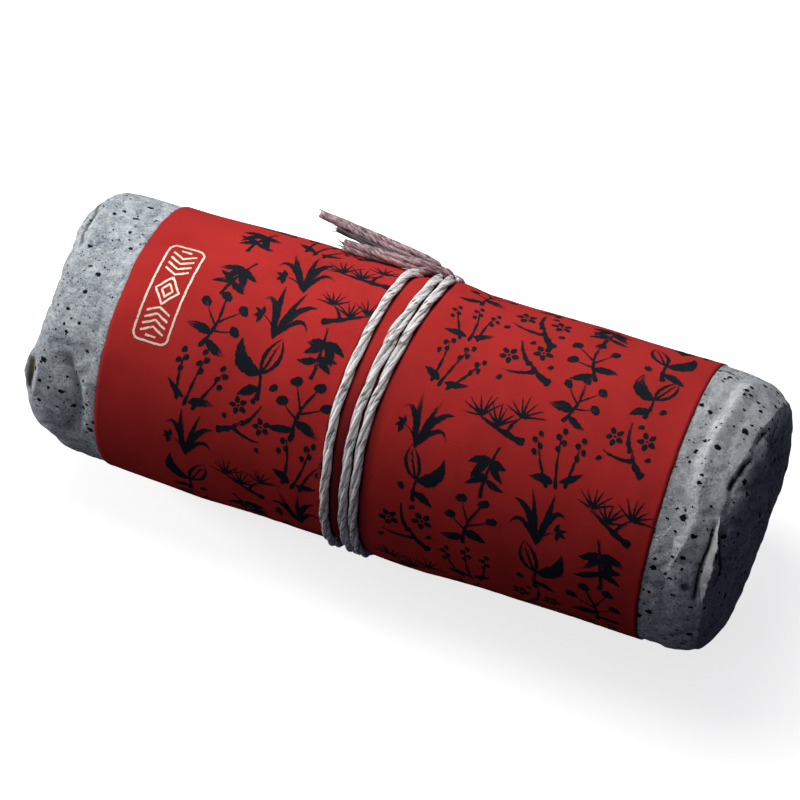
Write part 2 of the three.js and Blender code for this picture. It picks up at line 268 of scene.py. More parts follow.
def line_distance(points, normals, route):
    """Distance from points to a line through 3-D places, signed by the side of the line that they
    are on, and the share of the line's length that is nearest to each."""
    best = np.full(points.shape[:-1], np.inf)
    signed, share = np.zeros((2, *best.shape))
    before = along_route(route)
    for start, end, done in zip(route[:-1], route[1:], before):
        length = np.linalg.norm(end - start)
        way = (end - start) / length
        along = np.clip((points - start) @ way, 0, length)
        offset = points - start - along[..., None] * way
        distance = np.linalg.norm(offset, axis=-1)
        nearer = distance < best
        hand = np.sign((np.cross(way, normals) * offset).sum(-1))
        best = np.where(nearer, distance, best)
        signed = np.where(nearer, hand * distance, signed)
        share = np.where(nearer, (done + along) / before[-1], share)
    return signed, share


# ---- lines
STEPS_BETWEEN_STOPS = 24


def along_route(route):
    """Length of a line up to each of its places."""
    return np.concatenate([[0], np.cumsum(np.linalg.norm(np.diff(route, axis=0), axis=1))])


def smooth_route(stops, step):
    """Evenly stepped smooth line through a list of places."""
    stops = np.asarray(stops, float)
    padded = np.concatenate([[2 * stops[0] - stops[1]], stops, [2 * stops[-1] - stops[-2]]])
    dense = []
    for p0, p1, p2, p3 in zip(padded[:-3], padded[1:-2], padded[2:-1], padded[3:]):
        for t in np.linspace(0, 1, STEPS_BETWEEN_STOPS, endpoint=False):
            dense.append(0.5 * (2 * p1 + (p2 - p0) * t + (2 * p0 - 5 * p1 + 4 * p2 - p3) * t**2
                                + (3 * p1 - p0 - 3 * p2 + p3) * t**3))
    dense = np.array(dense + [stops[-1]])
    along = along_route(dense)
    places = np.linspace(0, along[-1], max(int(along[-1] / step), 2) + 1)
    return np.stack([np.interp(places, along, column) for column in dense.T], -1)


def round_line(route, angle, reach):
    """Points round a line, with a row of angles and of distances from it for each of its places. The
    angles start from a direction that doesn't twist along the line."""
    tangent = np.gradient(route, axis=0)
    tangent /= np.linalg.norm(tangent, axis=1)[:, None]
    side = np.cross(tangent[0], [0.0, 0.0, 1.0])
    if np.linalg.norm(side) < 0.1:
        side = np.cross(tangent[0], [0.0, 1.0, 0.0])
    sides = []
    for way in tangent:
        side = side - way * (side @ way)
        side = side / np.linalg.norm(side)
        sides.append(side)
    up = np.cross(tangent, sides)[:, None]
    right, high = reach * np.cos(angle), reach * np.sin(angle)
    return route[:, None] + right[..., None] * np.array(sides)[:, None] + high[..., None] * up


# ---- meshes


def grid_faces(spans, columns, rows):
    """Quads of a grid that closes on itself from column to column, and from its last row to its
    first where it has as many spans between rows as rows."""
    i, j = np.mgrid[:spans, :columns]
    after = (j + 1) % columns
    near, far = i * columns, (i + 1) % rows * columns
    return np.stack([near + j, near + after, far + after, far + j], -1).reshape(-1, 4).tolist()


def tube(rings, along=None, shear=0.0):
    """Closed tube from rings of points: points, faces and the uv of every face corner. u is the
    place along the tube; v goes round it, and turns with the place by shear."""
    rows, sides = rings.shape[:2]
    along = np.arange(rows, dtype=float) if along is None else along
    i, j = np.mgrid[:rows - 1, :sides]
    u = along[np.stack([i, i, i + 1, i + 1], -1)].reshape(-1)
    v = np.stack([j, j + 1, j + 1, j], -1).reshape(-1) / sides + shear * u
    caps = [list(range(sides))[::-1], list(range((rows - 1) * sides, rows * sides))]
    cap_uv = [[along[k], 0.0] for k in (0, -1) for _ in range(sides)]
    faces = grid_faces(rows - 1, sides, rows) + caps
    return rings.reshape(-1, 3), faces, np.concatenate([np.stack([u, v], -1), cap_uv])


def mesh_piece(name, parts, material, smooth=True, values=None):
    """One object from closed parts, each (points, faces, uv), with its faces pointing out."""
    points, faces, uvs = zip(*parts)
    starts = np.cumsum([0] + [len(part) for part in points]).tolist()
    joined = [[k + start for k in face] for start, part in zip(starts, faces) for face in part]
    placed = (np.concatenate(points) + [MIDDLE_OFFSET, 0, 0]) * MM
    mesh = bpy.data.meshes.new(name)
    mesh.from_pydata(placed.tolist(), [], joined)
    if uvs[0] is not None:
        layer = mesh.uv_layers.new(name="surface")
        layer.data.foreach_set("uv", np.concatenate(uvs).astype(np.float32).reshape(-1))
    for key, value in (values or {}).items():
        attribute = mesh.attributes.new(key, "FLOAT", "POINT")
        attribute.data.foreach_set("value", np.asarray(value, np.float32).reshape(-1))
    if smooth:
        mesh.polygons.foreach_set("use_smooth", [True] * len(mesh.polygons))
    mesh.materials.append(material)
    if signed_volume(mesh) < 0:
        mesh.flip_normals()
    mesh.validate()
    piece = bpy.data.objects.new(name, mesh)
    bpy.context.scene.collection.objects.link(piece)
    return piece


def signed_volume(mesh):
    """Volume that a closed mesh holds, negative if its faces point in."""
    mesh.calc_loop_triangles()
    corners = np.empty(len(mesh.loop_triangles) * 3, np.int32)
    mesh.loop_triangles.foreach_get("vertices", corners)
    places = np.empty(len(mesh.vertices) * 3)
    mesh.vertices.foreach_get("co", places)
    a, b, c = places.reshape(-1, 3)[corners].reshape(-1, 3, 3).transpose(1, 0, 2)
    return float((a * np.cross(b, c)).sum() / 6)


# ---- materials
BAND_RED = (0.475, 0.027, 0.025)
# Layers of bark flecks: cell, half width, stretch, turn and share of the cells that hold one.
FLECKS = [
    (3.4, 1.05, 1.15, (0.4, 0.2, 0.6), 0.50), (3.1, 0.85, 1.5, (1.1, 0.8, -0.7), 0.50),
    (2.0, 0.60, 1.25, (0.9, 1.4, 1.3), 0.50), (1.25, 0.36, 1.0, (0.1, 1.2, 0.3), 0.32),
]
# Painted glints: small bluish-white highlights, scattered like the bark flecks.
PAINTED_GLINTS = (2.3, 0.32, 1.6, (0.7, 0.3, 1.9), 0.45)
# Scale and turn of the two noises whose highs are the paper's fibres and whose lows are the hollows between
# them, which get painted shade.
FIBRE_STRETCHES = [((0.5, 5.5, 2.6),), ((4.6, 0.6, 1.5), (0.5, 0.3, 0.9))]


class Net:
    """Short way to write a material's nodes; a value is a number, a colour or another node's socket."""

    def __init__(self, name):
        self.material = bpy.data.materials.new(name)
        self.material.use_nodes = True
        self.tree = self.material.node_tree
        self.shader = self.tree.nodes["Principled BSDF"]

    def put(self, socket, value):
        """Set a socket, or link it to the socket that its value comes from."""
        if isinstance(value, bpy.types.NodeSocket):
            self.tree.links.new(value, socket)
        elif isinstance(value, (tuple, list)) and len(socket.default_value) == 4 and len(value) == 3:
            socket.default_value = (*value, 1)
        else:
            socket.default_value = value

    def node(self, kind, settings=None, **inputs):
        """New node, with its settings and what goes into its sockets."""
        made = self.tree.nodes.new(kind)
        for key, value in (settings or {}).items():
            setattr(made, key, value)
        for key, value in inputs.items():
            self.put(made.inputs[key.replace("_", " ")], value)
        return made

    def math(self, operation, *values, kind="ShaderNodeMath"):
        """Sum, product or the like of some values."""
        made = self.node(kind, {"operation": operation})
        for socket, value in zip(made.inputs, values):
            self.put(socket, value)
        return made.outputs[0]

    def total(self, *weighted):
        """Sum of (value, weight) pairs."""
        made = self.math("MULTIPLY", *weighted[0])
        for pair in weighted[1:]:
            made = self.math("ADD", made, self.math("MULTIPLY", *pair))
        return made

    def between(self, value, low, high, out_low=0.0, out_high=1.0):
        """The value's place between low and high, smoothly, given out in another range."""
        made = self.node("ShaderNodeMapRange", {"interpolation_type": "SMOOTHSTEP"}, Value=value,
                         From_Min=low, From_Max=high, To_Min=out_low, To_Max=out_high)
        return made.outputs[0]

    def millimetres(self):
        """Place on the object, in millimetres."""
        place = self.node("ShaderNodeTexCoord").outputs["Object"]
        return self.scaled(place, (1 / MM,) * 3)

    def scaled(self, vector, scale, rotation=(0, 0, 0), move=(0, 0, 0)):
        made = self.node("ShaderNodeMapping", Vector=vector, Scale=scale, Rotation=rotation,
                         Location=move)
        return made.outputs[0]

    def noise(self, vector, scale, detail=2.0, roughness=0.5, distortion=0.0, colour=False):
        made = self.node("ShaderNodeTexNoise", Vector=vector, Scale=scale, Detail=detail,
                         Roughness=roughness, Distortion=distortion)
        return made.outputs["Color" if colour else 0]

    def surface(self, scale, move=(0, 0, 0)):
        """Place on the mesh's own uv, scaled: along its strokes or strands, and across them."""
        place = self.node("ShaderNodeUVMap", {"uv_map": "surface"}).outputs[0]
        return self.scaled(place, scale, move=move)

    def shaken(self, vector, scale, reach):
        """The vector, moved about by noise."""
        kind = "ShaderNodeVectorMath"
        shift = self.math("SUBTRACT", self.noise(vector, scale, colour=True), (0.5,) * 3, kind=kind)
        return self.math("MULTIPLY_ADD", shift, (reach,) * 3, vector, kind=kind)

    def mix(self, share, a, b):
        """Blend of two colours, with the second one's share."""
        made = self.node("ShaderNodeMix", {"data_type": "RGBA"})
        self.put(made.inputs[0], share)
        self.put(made.inputs[6], a)
        self.put(made.inputs[7], b)
        return made.outputs[2]

    def tint(self, colour, other, value, strength=1.0):
        """The colour, turned into the other one by as much as value times strength."""
        return self.mix(self.math("MULTIPLY", value, strength), colour, other)

    def ramp(self, value, stops):
        """Colour at a value, between (place, colour) stops."""
        made = self.node("ShaderNodeValToRGB", Fac=value)
        line = made.color_ramp
        while len(line.elements) < len(stops):
            line.elements.new(0.5)
        for element, (place, colour) in zip(line.elements, stops):
            element.position = place
            element.color = (*colour, 1)
        return made.outputs[0]

    def attribute(self, name):
        """Value that the mesh's points carry under a name."""
        return self.node("ShaderNodeAttribute", {"attribute_name": name}).outputs["Fac"]

    def flecks(self, place, cell, size, stretch, rotation, share):
        """1 inside scattered long flecks, 0 outside them; sizes are in the place's own units."""
        held = self.scaled(place, (1 / (cell * stretch), 1 / cell, 1 / cell), rotation)
        cells = self.node("ShaderNodeTexVoronoi", Vector=held, Scale=1.0)
        draw = self.node("ShaderNodeSeparateColor", Color=cells.outputs["Color"])
        chosen = self.math("LESS_THAN", draw.outputs[0], share)
        reach = self.between(draw.outputs[1], 0.0, 1.0, 0.35 * size / cell, size / cell)
        inside = self.math("SUBTRACT", reach, cells.outputs["Distance"])
        return self.math("MULTIPLY", chosen, self.between(inside, 0.0, 0.16 * size / cell))

    def finish(self, colour, roughness, height=None, bump_depth=0.1, **settings):
        """The material, with its colour, roughness, relief and other shader settings."""
        self.put(self.shader.inputs["Base Color"], colour)
        self.put(self.shader.inputs["Roughness"], roughness)
        for key, value in settings.items():
            self.put(self.shader.inputs[key.replace("_", " ")], value)
        if height is not None:
            made = self.node("ShaderNodeBump", Strength=1.0, Distance=bump_depth * MM, Height=height)
            self.put(self.shader.inputs["Normal"], made.outputs[0])
        return self.material


def handmade_paper():
    """Grey bark paper: cloudy and felted, with fine fibres and painted shade in the hollows between them,
    dark flecks of bark, painted glints, an olive stain, and painted light and painted shade in its creases
    where the mesh asks for them.
    """
    net = Net("handmade_paper")
    place = net.millimetres()
    cloud = net.noise(place, 0.10, 3.0, 0.5)
    mottle = net.noise(place, 0.42, 4.0, 0.58, 0.5)
    grain = net.noise(place, 1.7, 4.0, 0.72)
    colour = net.ramp(net.total((cloud, 0.16), (mottle, 0.32), (grain, 0.52)), [
        (0.39, (0.15, 0.19, 0.235)), (0.46, (0.45, 0.51, 0.565)), (0.525, (0.66, 0.725, 0.765)),
        (0.60, (0.87, 0.92, 0.94)),
    ])
    # Painted light: lighter along the top of the right end, painted highlight along ridges and on the lip's
    # torn edge.
    pale = net.attribute("pale")
    colour = net.tint(colour, (0.93, 0.94, 0.93), pale)
    drift = net.shaken(place, 0.3, 2.4)
    felt = [net.noise(net.scaled(drift, *stretch), 1.0) for stretch in FIBRE_STRETCHES]
    fibres = net.math("MAXIMUM", *(net.between(value, 0.60, 0.72) for value in felt))
    # Painted shade in the hollows between fibres.
    hollow_shade = net.math("MAXIMUM", *(net.between(value, 0.28, 0.40, 1.0, 0.0) for value in felt))
    colour = net.tint(colour, (0.80, 0.85, 0.87), fibres, 0.42)
    colour = net.tint(colour, (0.20, 0.23, 0.28), hollow_shade, 0.40)
    crowd = net.between(net.noise(place, 0.07), 0.35, 0.65, 0.45, 1.25)
    shaken = net.shaken(place, 1.3, 1.2)
    bark = 0.0
    for *form, share in FLECKS:
        layer = net.flecks(shaken, *form, net.math("MULTIPLY", crowd, share))
        bark = net.math("MAXIMUM", bark, layer)
    bark_colour = net.mix(net.noise(place, 0.4), (0.001, 0.002, 0.003), (0.008, 0.016, 0.010))
    colour = net.mix(bark, colour, bark_colour)
    # Painted glints: small bluish-white highlights.
    colour = net.tint(colour, (0.88, 0.90, 0.92), net.flecks(shaken, *PAINTED_GLINTS), 0.85)
    # Painted highlight, whitest on the lip's torn edge.
    colour = net.tint(colour, (0.97, 0.97, 0.95), net.between(pale, 0.6, 0.9), 0.9)
    colour = net.tint(colour, (0.075, 0.066, 0.035), net.attribute("stain"))
    # Painted shade in the creases and folds, with a few dark spots.
    colour = net.tint(colour, (0.025, 0.027, 0.035), net.attribute("crease"))
    rough = net.between(mottle, 0.3, 0.7, 0.80, 0.58)
    height = net.total((mottle, 0.9), (grain, 0.65), (fibres, 0.30), (bark, 0.25))
    return net.finish(colour, rough, height, 0.75, Specular_IOR_Level=0.10)


def red_paper():
    """Red band: fine laid grain and faint clouds, with painted shade along its cut edges, beside the
    string, between its first two turns and right of the last one down the front.
    """
    net = Net("red_paper")
    place = net.millimetres()
    cloud = net.noise(place, 0.05, 3.0, 0.55)
    grain = net.noise(place, 2.6, 4.0, 0.65)
    laid = net.noise(net.scaled(place, (0.35, 6.0, 6.0)), 1.0)
    colour = net.ramp(net.total((cloud, 0.5), (grain, 0.3), (laid, 0.2)), [
        (0.33, (0.41, 0.021, 0.018)), (0.5, BAND_RED), (0.68, (0.56, 0.032, 0.026)),
    ])
    specks = net.flecks(net.shaken(place, 1.6, 0.5), 3.3, 0.16, 2.0, (0.4, 0.9, 0.2), 0.25)
    colour = net.tint(colour, (0.16, 0.012, 0.012), specks, 0.6)
    # Painted shade along the band's cut edges.
    colour = net.tint(colour, (0.14, 0.010, 0.012), net.attribute("edge"), 0.5)
    # Painted shade and shadow beside and between the turns of string.
    colour = net.tint(colour, (0.022, 0.006, 0.009), net.attribute("pressed"))
    rough = net.between(grain, 0.3, 0.7, 0.86, 0.74)
    height = net.total((grain, 0.6), (laid, 0.4))
    return net.finish(colour, rough, height, 0.09, Specular_IOR_Level=0.10)


def brush_ink():
    """Blue-black ink, streaked along the stroke where the brush ran dry, so that the red shows."""
    net = Net("brush_ink")
    place = net.millimetres()
    streaks = net.noise(net.surface((0.30, 30.0, 1.0)), 1.0, 3.0, 0.6)
    pool = net.noise(place, 0.5)
    dry = net.total((streaks, 1.0), (net.attribute("dry"), 0.30), (net.noise(place, 3.2, 3.0), 0.12))
    colour = net.mix(pool, (0.005, 0.009, 0.014), (0.010, 0.014, 0.024))
    colour = net.tint(colour, BAND_RED, net.between(dry, 0.76, 0.86), 0.9)
    rough = net.between(pool, 0.3, 0.7, 0.60, 0.80)
    return net.finish(colour, rough, net.noise(place, 3.0, 3.0), 0.03, Specular_IOR_Level=0.08)


def gold_foil():
    """Pale gold foil, pressed on and slightly broken."""
    net = Net("gold_foil")
    place = net.millimetres()
    broken = net.between(net.noise(place, 1.9, 4.0, 0.7), 0.56, 0.64)
    colour = net.mix(net.noise(place, 0.7), (0.84, 0.72, 0.52), (0.94, 0.88, 0.76))
    colour = net.tint(colour, (0.50, 0.14, 0.10), broken, 0.85)
    rough = net.between(net.noise(place, 1.2), 0.3, 0.7, 0.35, 0.6)
    return net.finish(colour, rough, net.noise(place, 1.6, 3.0), 0.05, Metallic=0.3)


def twine(name, light, shade, warm, middle=0.44, lift=1.25):
    """Soft plied twine: fibres run with the strand, with short slits between them and furrows in its plies,
    both darkened with painted shade. Middle is the tone that gets the light colour, and lift is how much
    brighter the brightest fibres are."""
    net = Net(name)
    streak = net.noise(net.surface((0.5, 8.0, 1.0)), 1.0, 3.0, 0.6)
    slit = net.noise(net.surface((0.30, 9.0, 1.0), (3.7, 1.3, 0)), 1.0, 1.0)
    fine = net.noise(net.surface((1.6, 40.0, 1.0)), 1.0)
    cloud = net.noise(net.millimetres(), 0.30, 3.0)
    bright = tuple(min(c * lift, 0.97) for c in light)
    colour = net.ramp(net.total((streak, 0.55), (cloud, 0.2), (fine, 0.25)), [
        (middle - 0.09, shade), (middle, light), (middle + 0.1, bright),
    ])
    colour = net.tint(colour, warm, net.between(cloud, 0.52, 0.72), 0.5)
    cut = net.between(slit, 0.61, 0.66)
    # Painted shade in the slits and in the plies' furrows.
    for dark in (cut, net.attribute("crevice")):
        colour = net.tint(colour, tuple(c * 0.10 for c in shade), dark, 0.9)
    rough = net.between(streak, 0.3, 0.7, 0.54, 0.40)
    height = net.total((streak, 0.5), (fine, 0.35), (cut, -0.8))
    return net.finish(colour, rough, height, 0.26, Sheen_Weight=0.2, Sheen_Roughness=0.5,
                      Specular_IOR_Level=0.85)


# ---- paper roll
ROLL_COLUMNS = 432
HIDDEN_ROWS = 8
HIDDEN_EDGE = BAND_EDGE - 0.4
FIRST_STATION, FACE_END = 0.02, 2.985
# Rows of the mesh along each end's side, shoulder and face.
END_ROWS = {1: (22, 44, 36), -1: (44, 22, 36)}
# Layers of waves in the bare paper: height, wavelength and seed.
PAPER_WAVES = [(0.30, 13, 5), (0.12, 4.2, 6)]
# Crumple of the bare paper: cell, seed, depth of its creases, and how much painted shade darkens them.
CRUMPLE = {"cell": 10, "seed": 7, "depth": 0.28, "dark": 0.06}
# Painted light along the top of the right end: how much lighter the sheet is there, how far round, and up
# to which station.
PAINTED_TOP_LIGHT = {"share": 0.36, "reach": 75, "station": 1.6}
# How far a fold's (station, angle) places are apart, in millimetres, for a step of 1 in each.
STATION_MM, ANGLE_MM = 14, 0.7


def fold(height, width, points, sharp=False, closed=False, spot=0.34, **looks):
    """What the paper does along a line of (station, angle) places: how high it rises and how wide, sharp or
    rounded, how dark it is made (painted shade in its creases, and a few dark spots), how stained it is,
    and how much painted light it gets there, out to the spot's distance."""
    return {"height": height, "width": width, "points": points, "sharp": sharp, "closed": closed,
            "spot": spot, "looks": looks}


# Folds of the right end: painted highlight on ridge tops, painted shade along creases, and a dark spot by
# the band.
RIGHT_LINES = [
    fold(0.95, 2.1, pale=0.26, spot=2.9, points=[
        (1.24, 36), (1.15, 18), (1.1, 4), (1.04, -14), (1.07, -28), (1.14, -42), (1.08, -55), (0.98, -66)]),
    fold(-0.75, 1.7, points=[(1.04, 38), (0.94, 14), (0.82, -3), (0.66, -16), (0.6, -30)]),
    fold(0.45, 0.6, sharp=True, pale=0.45, points=[(1.1, -51), (1.04, -57), (0.98, -63)]),
    fold(0.95, 2.6, sharp=True, closed=True, points=[
        (1.68, 60), (1.65, 40), (1.59, 17), (1.51, 3), (1.47, -10), (1.41, -22), (1.4, -34), (1.43, -50),
        (1.46, -66), (1.5, -82), (1.5, -104), (1.46, -140), (1.5, -180), (1.6, -220), (1.6, -262),
        (1.68, -300)]),
    fold(-0.9, 0.7, sharp=True, crease=1.0, points=[
        (1.6, -8), (1.54, -14), (1.47, -22), (1.43, -29)]),
    fold(-0.4, 1, crease=0.95, spot=0.8, points=[(1.52, -13), (1.5, -20)]),
    fold(-0.4, 1, crease=0.95, spot=1.0, points=[(1.44, -21), (1.42, -28)]),
    fold(-0.7, 0.8, sharp=True, crease=1.0, points=[(1.66, 9), (1.61, 3), (1.57, -3)]),
    fold(-0.8, 0.9, sharp=True, crease=1.0, points=[(1.75, 18), (1.93, 8), (2.12, 7)]),
    fold(-0.6, 0.9, sharp=True, crease=0.5, points=[(1.9, -14), (2.03, -22), (2.1, -34)]),
    fold(-1.5, 0.7, sharp=True, crease=1.0, spot=0.5, points=[
        (1.38, -40), (1.395, -47), (1.4, -52), (1.38, -57), (1.365, -63), (1.37, -70), (1.4, -80)]),
    fold(-1.3, 0.8, sharp=True, crease=1.0, spot=0.6, points=[
        (1.5, -44), (1.57, -51), (1.66, -57), (1.76, -63), (1.7, -68), (1.6, -72)]),
    fold(-0.5, 1.2, crease=0.8, spot=1.3, points=[(1.18, -69), (1.27, -72)]),
    fold(-0.6, 1.6, points=[(0.7, -70), (0.9, -80), (1.1, -92)]),
    fold(0, 1, crease=0.95, spot=0.45, points=[(0.02, 33), (0.3, 34), (0.58, 35)]),
]
# Folds of the left end: an olive stain along a fold, painted highlight on a ridge, painted shade along
# creases, and dark spots.
LEFT_LINES = [
    fold(-1.0, 1.7, stain=0.75, spot=0.9, points=[
        (1.8, 26), (1.52, 16), (1.46, 11), (1.50, 8), (1.52, 4), (1.50, 0), (1.40, -4), (1.24, -9)]),
    fold(-0.5, 0.7, crease=0.9, spot=0.5, points=[(1.43, 10), (1.47, 6)]),
    fold(-0.4, 0.6, crease=1.0, spot=0.45, points=[(1.46, 5), (1.50, 2)]),
    fold(-0.3, 0.6, crease=1.0, spot=0.5, points=[(1.45, 17), (1.46, 15.5)]),
    fold(0.6, 1.3, points=[(1.2, 18), (1.1, 8), (1.02, -6)]),
    fold(-1.1, 2.3, stain=1.0, spot=2.3, points=[(1.74, -61), (1.6, -70), (1.7, -81)]),
    fold(0.9, 0.8, sharp=True, pale=0.35, points=[
        (1.4, -60), (1.25, -66), (1.27, -74), (1.4, -81)]),
    fold(0, 1, crease=1.0, spot=1.1, points=[(1.55, -70), (1.66, -79)]),
    fold(-2.1, 2.4, crease=0.38, spot=1.7, points=[
        (0.8, -52), (0.60, -61), (0.44, -68), (0.40, -76), (0.46, -88), (0.8, -102)]),
    fold(0.5, 2.4, points=[(0.28, -60), (0.18, -74), (0.24, -90)]),
]
# Gathered folds of an end's face: how many, their stations, twist, height and width, and how much painted
# shade darkens them.
GATHERS = {"count": 11, "from": 2.16, "to": 2.86, "twist": 34, "height": -0.5, "width": 0.9, "crease": 0.3}


def gathers(seed):
    """Folds of an end's face, where the paper is gathered towards its middle."""
    draw = np.random.default_rng(seed)
    for k in range(GATHERS["count"]):
        start = (k + draw.uniform(-0.3, 0.3)) * 360 / GATHERS["count"]
        outer = GATHERS["from"] + draw.uniform(-0.1, 0.15)
        inwards = GATHERS["to"] - outer
        points = [(outer + inwards * t, start + GATHERS["twist"] * t**2) for t in (0, 0.33, 0.67, 1)]
        height = GATHERS["height"] * draw.uniform(0.5, 1.1)
        yield fold(height, GATHERS["width"], points, sharp=True, crease=GATHERS["crease"])


def line_route(end, points):
    """3-D places along a fold, smooth between its stops."""
    scale = np.array([STATION_MM, ANGLE_MM])
    stops = smooth_route(np.array(points, float) * scale, 1.5) / scale
    return end_surface(end, stops[:, 0], stops[:, 1])


def worked_end(end, folds, angles):
    """Grid of one end with its relief, and how much painted shade in creases (with a few dark spots), stain
    and painted light each point gets. Rows run from the band's edge to the middle of the face."""
    side, shoulder, face = END_ROWS[end["side"]]
    stations = np.concatenate([
        np.linspace(FIRST_STATION, 1, side, endpoint=False),
        np.linspace(1, 2, shoulder, endpoint=False),
        np.linspace(2, FACE_END, face),
    ])[:, None]
    points = end_surface(end, stations, angles)
    outward = grid_normals(points) * end["side"]
    clear_of_band = smoothstep(stations, 0.0, 0.25)
    net = crumple(points, CRUMPLE["cell"], CRUMPLE["seed"]) * clear_of_band
    lift = layered_waves(points, PAPER_WAVES) * clear_of_band - CRUMPLE["depth"] * net
    # Painted light: the sheet lighter along the top of the right end.
    painted_top_light = PAINTED_TOP_LIGHT["share"] * bump(turn_between(angles, 0), PAINTED_TOP_LIGHT["reach"])
    looks = {
        "crease": CRUMPLE["dark"] * net,
        "stain": np.zeros_like(lift),
        "pale": painted_top_light * (stations < PAINTED_TOP_LIGHT["station"]) * (end is RIGHT_END),
    }
    for line in folds:
        signed, share = line_distance(points, outward, line_route(end, line["points"]))
        fade = smoothstep(share, 0, 0.15) * (1 - smoothstep(share, 0.85, 1))
        if line["closed"]:
            fade = 1.0
        away = np.abs(signed) / line["width"]
        profile = np.exp(-away) if line["sharp"] else np.exp(-away**2)
        lift = lift + line["height"] * profile * (0.15 + 0.85 * fade)
        spot = np.exp(-(signed / line["spot"]) ** 4) * (0.1 + 0.9 * fade)
        for look, strength in line["looks"].items():
            looks[look] = np.maximum(looks[look], strength * spot)
    return not_below(points + outward * lift[..., None], 0), looks


def make_paper_roll(material):
    """Bare paper at both ends, joined by a plain sleeve that the band covers."""
    angles = np.linspace(0, 360, ROLL_COLUMNS, endpoint=False)[None, :]
    left, left_looks = worked_end(LEFT_END, [*LEFT_LINES, *gathers(3)], angles)
    right, right_looks = worked_end(RIGHT_END, [*RIGHT_LINES, *gathers(4)], angles)
    x = np.linspace(-HIDDEN_EDGE, HIDDEN_EDGE, HIDDEN_ROWS)[:, None]
    radius = pack_radius(x, angles) - (PAPER_UNDER_BAND + groove_depth(x, angles))
    hidden = not_below(at_angle(x, angles, radius), PAPER_UNDER_BAND)
    plain = np.zeros(hidden.shape[:2])
    values = {
        look: np.concatenate([left_looks[look][::-1], plain, right_looks[look]])
        for look in left_looks
    }
    rings = np.concatenate([left[::-1], hidden, right])
    piece = mesh_piece("paper_roll", [tube(rings)], material, values=values)
    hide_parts("tea_roll")
    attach(piece, "root")


# Flap of the sheet's edge on the right end's rim: angle, station of its torn edge and of its root.
LIP_STOPS = [
    (-37, 1.40, 1.42), (-44, 1.41, 1.46), (-50, 1.42, 1.53), (-56, 1.405, 1.59), (-62, 1.39, 1.66),
    (-67, 1.40, 1.62), (-72, 1.43, 1.54), (-79, 1.47, 1.50),
]
LIP_STEP = 0.6
# Its section from under the torn edge over to the root: share of its width, height, and how much painted
# highlight it gets.
LIP_SECTION = [(0.06, -0.6, 0), (0.0, 0.9, 0.95), (0.02, 1.3, 1), (0.12, 2.1, 1), (0.20, 2.8, 1),
               (0.25, 3.05, 0.7), (0.31, 2.95, 0.1), (0.62, 2.1, 0), (1.0, 0.2, 0), (0.9, -0.8, 0)]


def make_paper_lip(material):
    """Flap of paper whose torn edge stands up from the right end's rim, made light with painted highlight.
    """
    scale = np.array([ANGLE_MM, STATION_MM, STATION_MM])
    angle, edge, root = (smooth_route(np.array(LIP_STOPS) * scale, LIP_STEP) / scale).T
    lifted, rooted = (end_surface(RIGHT_END, station, angle) for station in (edge, root))
    outward = np.cross(rooted - lifted, np.gradient(lifted, axis=0))
    outward /= np.linalg.norm(outward, axis=1)[:, None] * np.sign(outward[:, :1])
    t = np.linspace(0, 1, len(lifted))[:, None]
    torn = 1 + 0.10 * np.sin(t * 25) + 0.07 * np.sin(t * 61 + 1)
    height = np.sin(np.pi * np.clip(t, 0.01, 0.99)) ** 0.5 * torn
    rings = [lifted + (rooted - lifted) * share + outward * np.where(up > 0, up * height, up)
             for share, up, _ in LIP_SECTION]
    # Painted highlight on the torn edge and up its face.
    pale = torn * [look for _, _, look in LIP_SECTION]
    values = {"pale": np.clip(pale, 0, 1), "crease": pale * 0, "stain": pale * 0}
    piece = mesh_piece("paper_lip", [tube(np.stack(rings, 1))], material, values=values)
    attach(piece, "root")


# ---- band
BAND_COLUMNS = 330
BAND_STEP = 1.05
INNER_ROWS = 60
STRING_ZONE = (-16, 6)
STRING_ZONE_STEP = 0.35
SEAM_ANGLE = 150
SEAM_STEP = 0.4
SEAM_FADE = 26
# Angles of the seam's two edges from its middle, and how far other columns keep from it.
SEAM_EDGES = (-0.12, 0.02)
SEAM_CLEAR = 0.6
# Layers of waves in the band: height, wavelength and seed.
BAND_WAVES = [(0.16, 26, 11), (0.05, 9, 12)]
# Where the string holds the band tight, and by how much its waves are less there.
TIGHT = {"x": -5, "reach": 14, "share": 0.7}
EDGE_LIFT = {"height": 0.16, "width": 3, "wavelength": 20, "seed": 13}
EDGE_WANDER = {"depth": 0.16, "width": 2, "wavelength": 7, "seed": 14}
# How far in from the band's edge its painted shade begins, and where it is whole.
EDGE_SHADE_REACH = (0.75, 0.1)
# Painted shade on the band beside a string's centre line, painted shadow on the right of the last turn, and
# painted shade in the strip between the first two: its share, where it starts to fade and where it ends.
# The last two grow between two angles down the front, and stop at the last angle.
SHADE_BESIDE_STRING = {"reach": (1.5, 2.2), "share": 0.85}
SHADOW_RIGHT_OF_TURNS = {"reach": (1.2, 5.5), "share": 0.62}
SHADE_BETWEEN_TURNS = {"down": (10, 62), "last": 150, "share": 0.72}


def band_radius(x, angle):
    """Distance from the axis to the band's outer face."""
    smooth = at_angle(x, angle, ROLL_RADIUS)
    past_seam = turn_between(angle, SEAM_ANGLE)
    lap = SEAM_STEP * (past_seam >= 0) * (1 - smoothstep(past_seam, 0, SEAM_FADE))
    calm = 1 - TIGHT["share"] * bump(x - TIGHT["x"], TIGHT["reach"])
    edge = smoothstep(np.abs(x), BAND_EDGE - EDGE_LIFT["width"], BAND_EDGE)
    uneven = 0.5 + 0.5 * waves(smooth, EDGE_LIFT["wavelength"], EDGE_LIFT["seed"])
    relief = layered_waves(smooth, BAND_WAVES) * calm + EDGE_LIFT["height"] * edge * uneven
    return pack_radius(x, angle) + BAND_PROUD + relief + lap - groove_depth(x, angle)


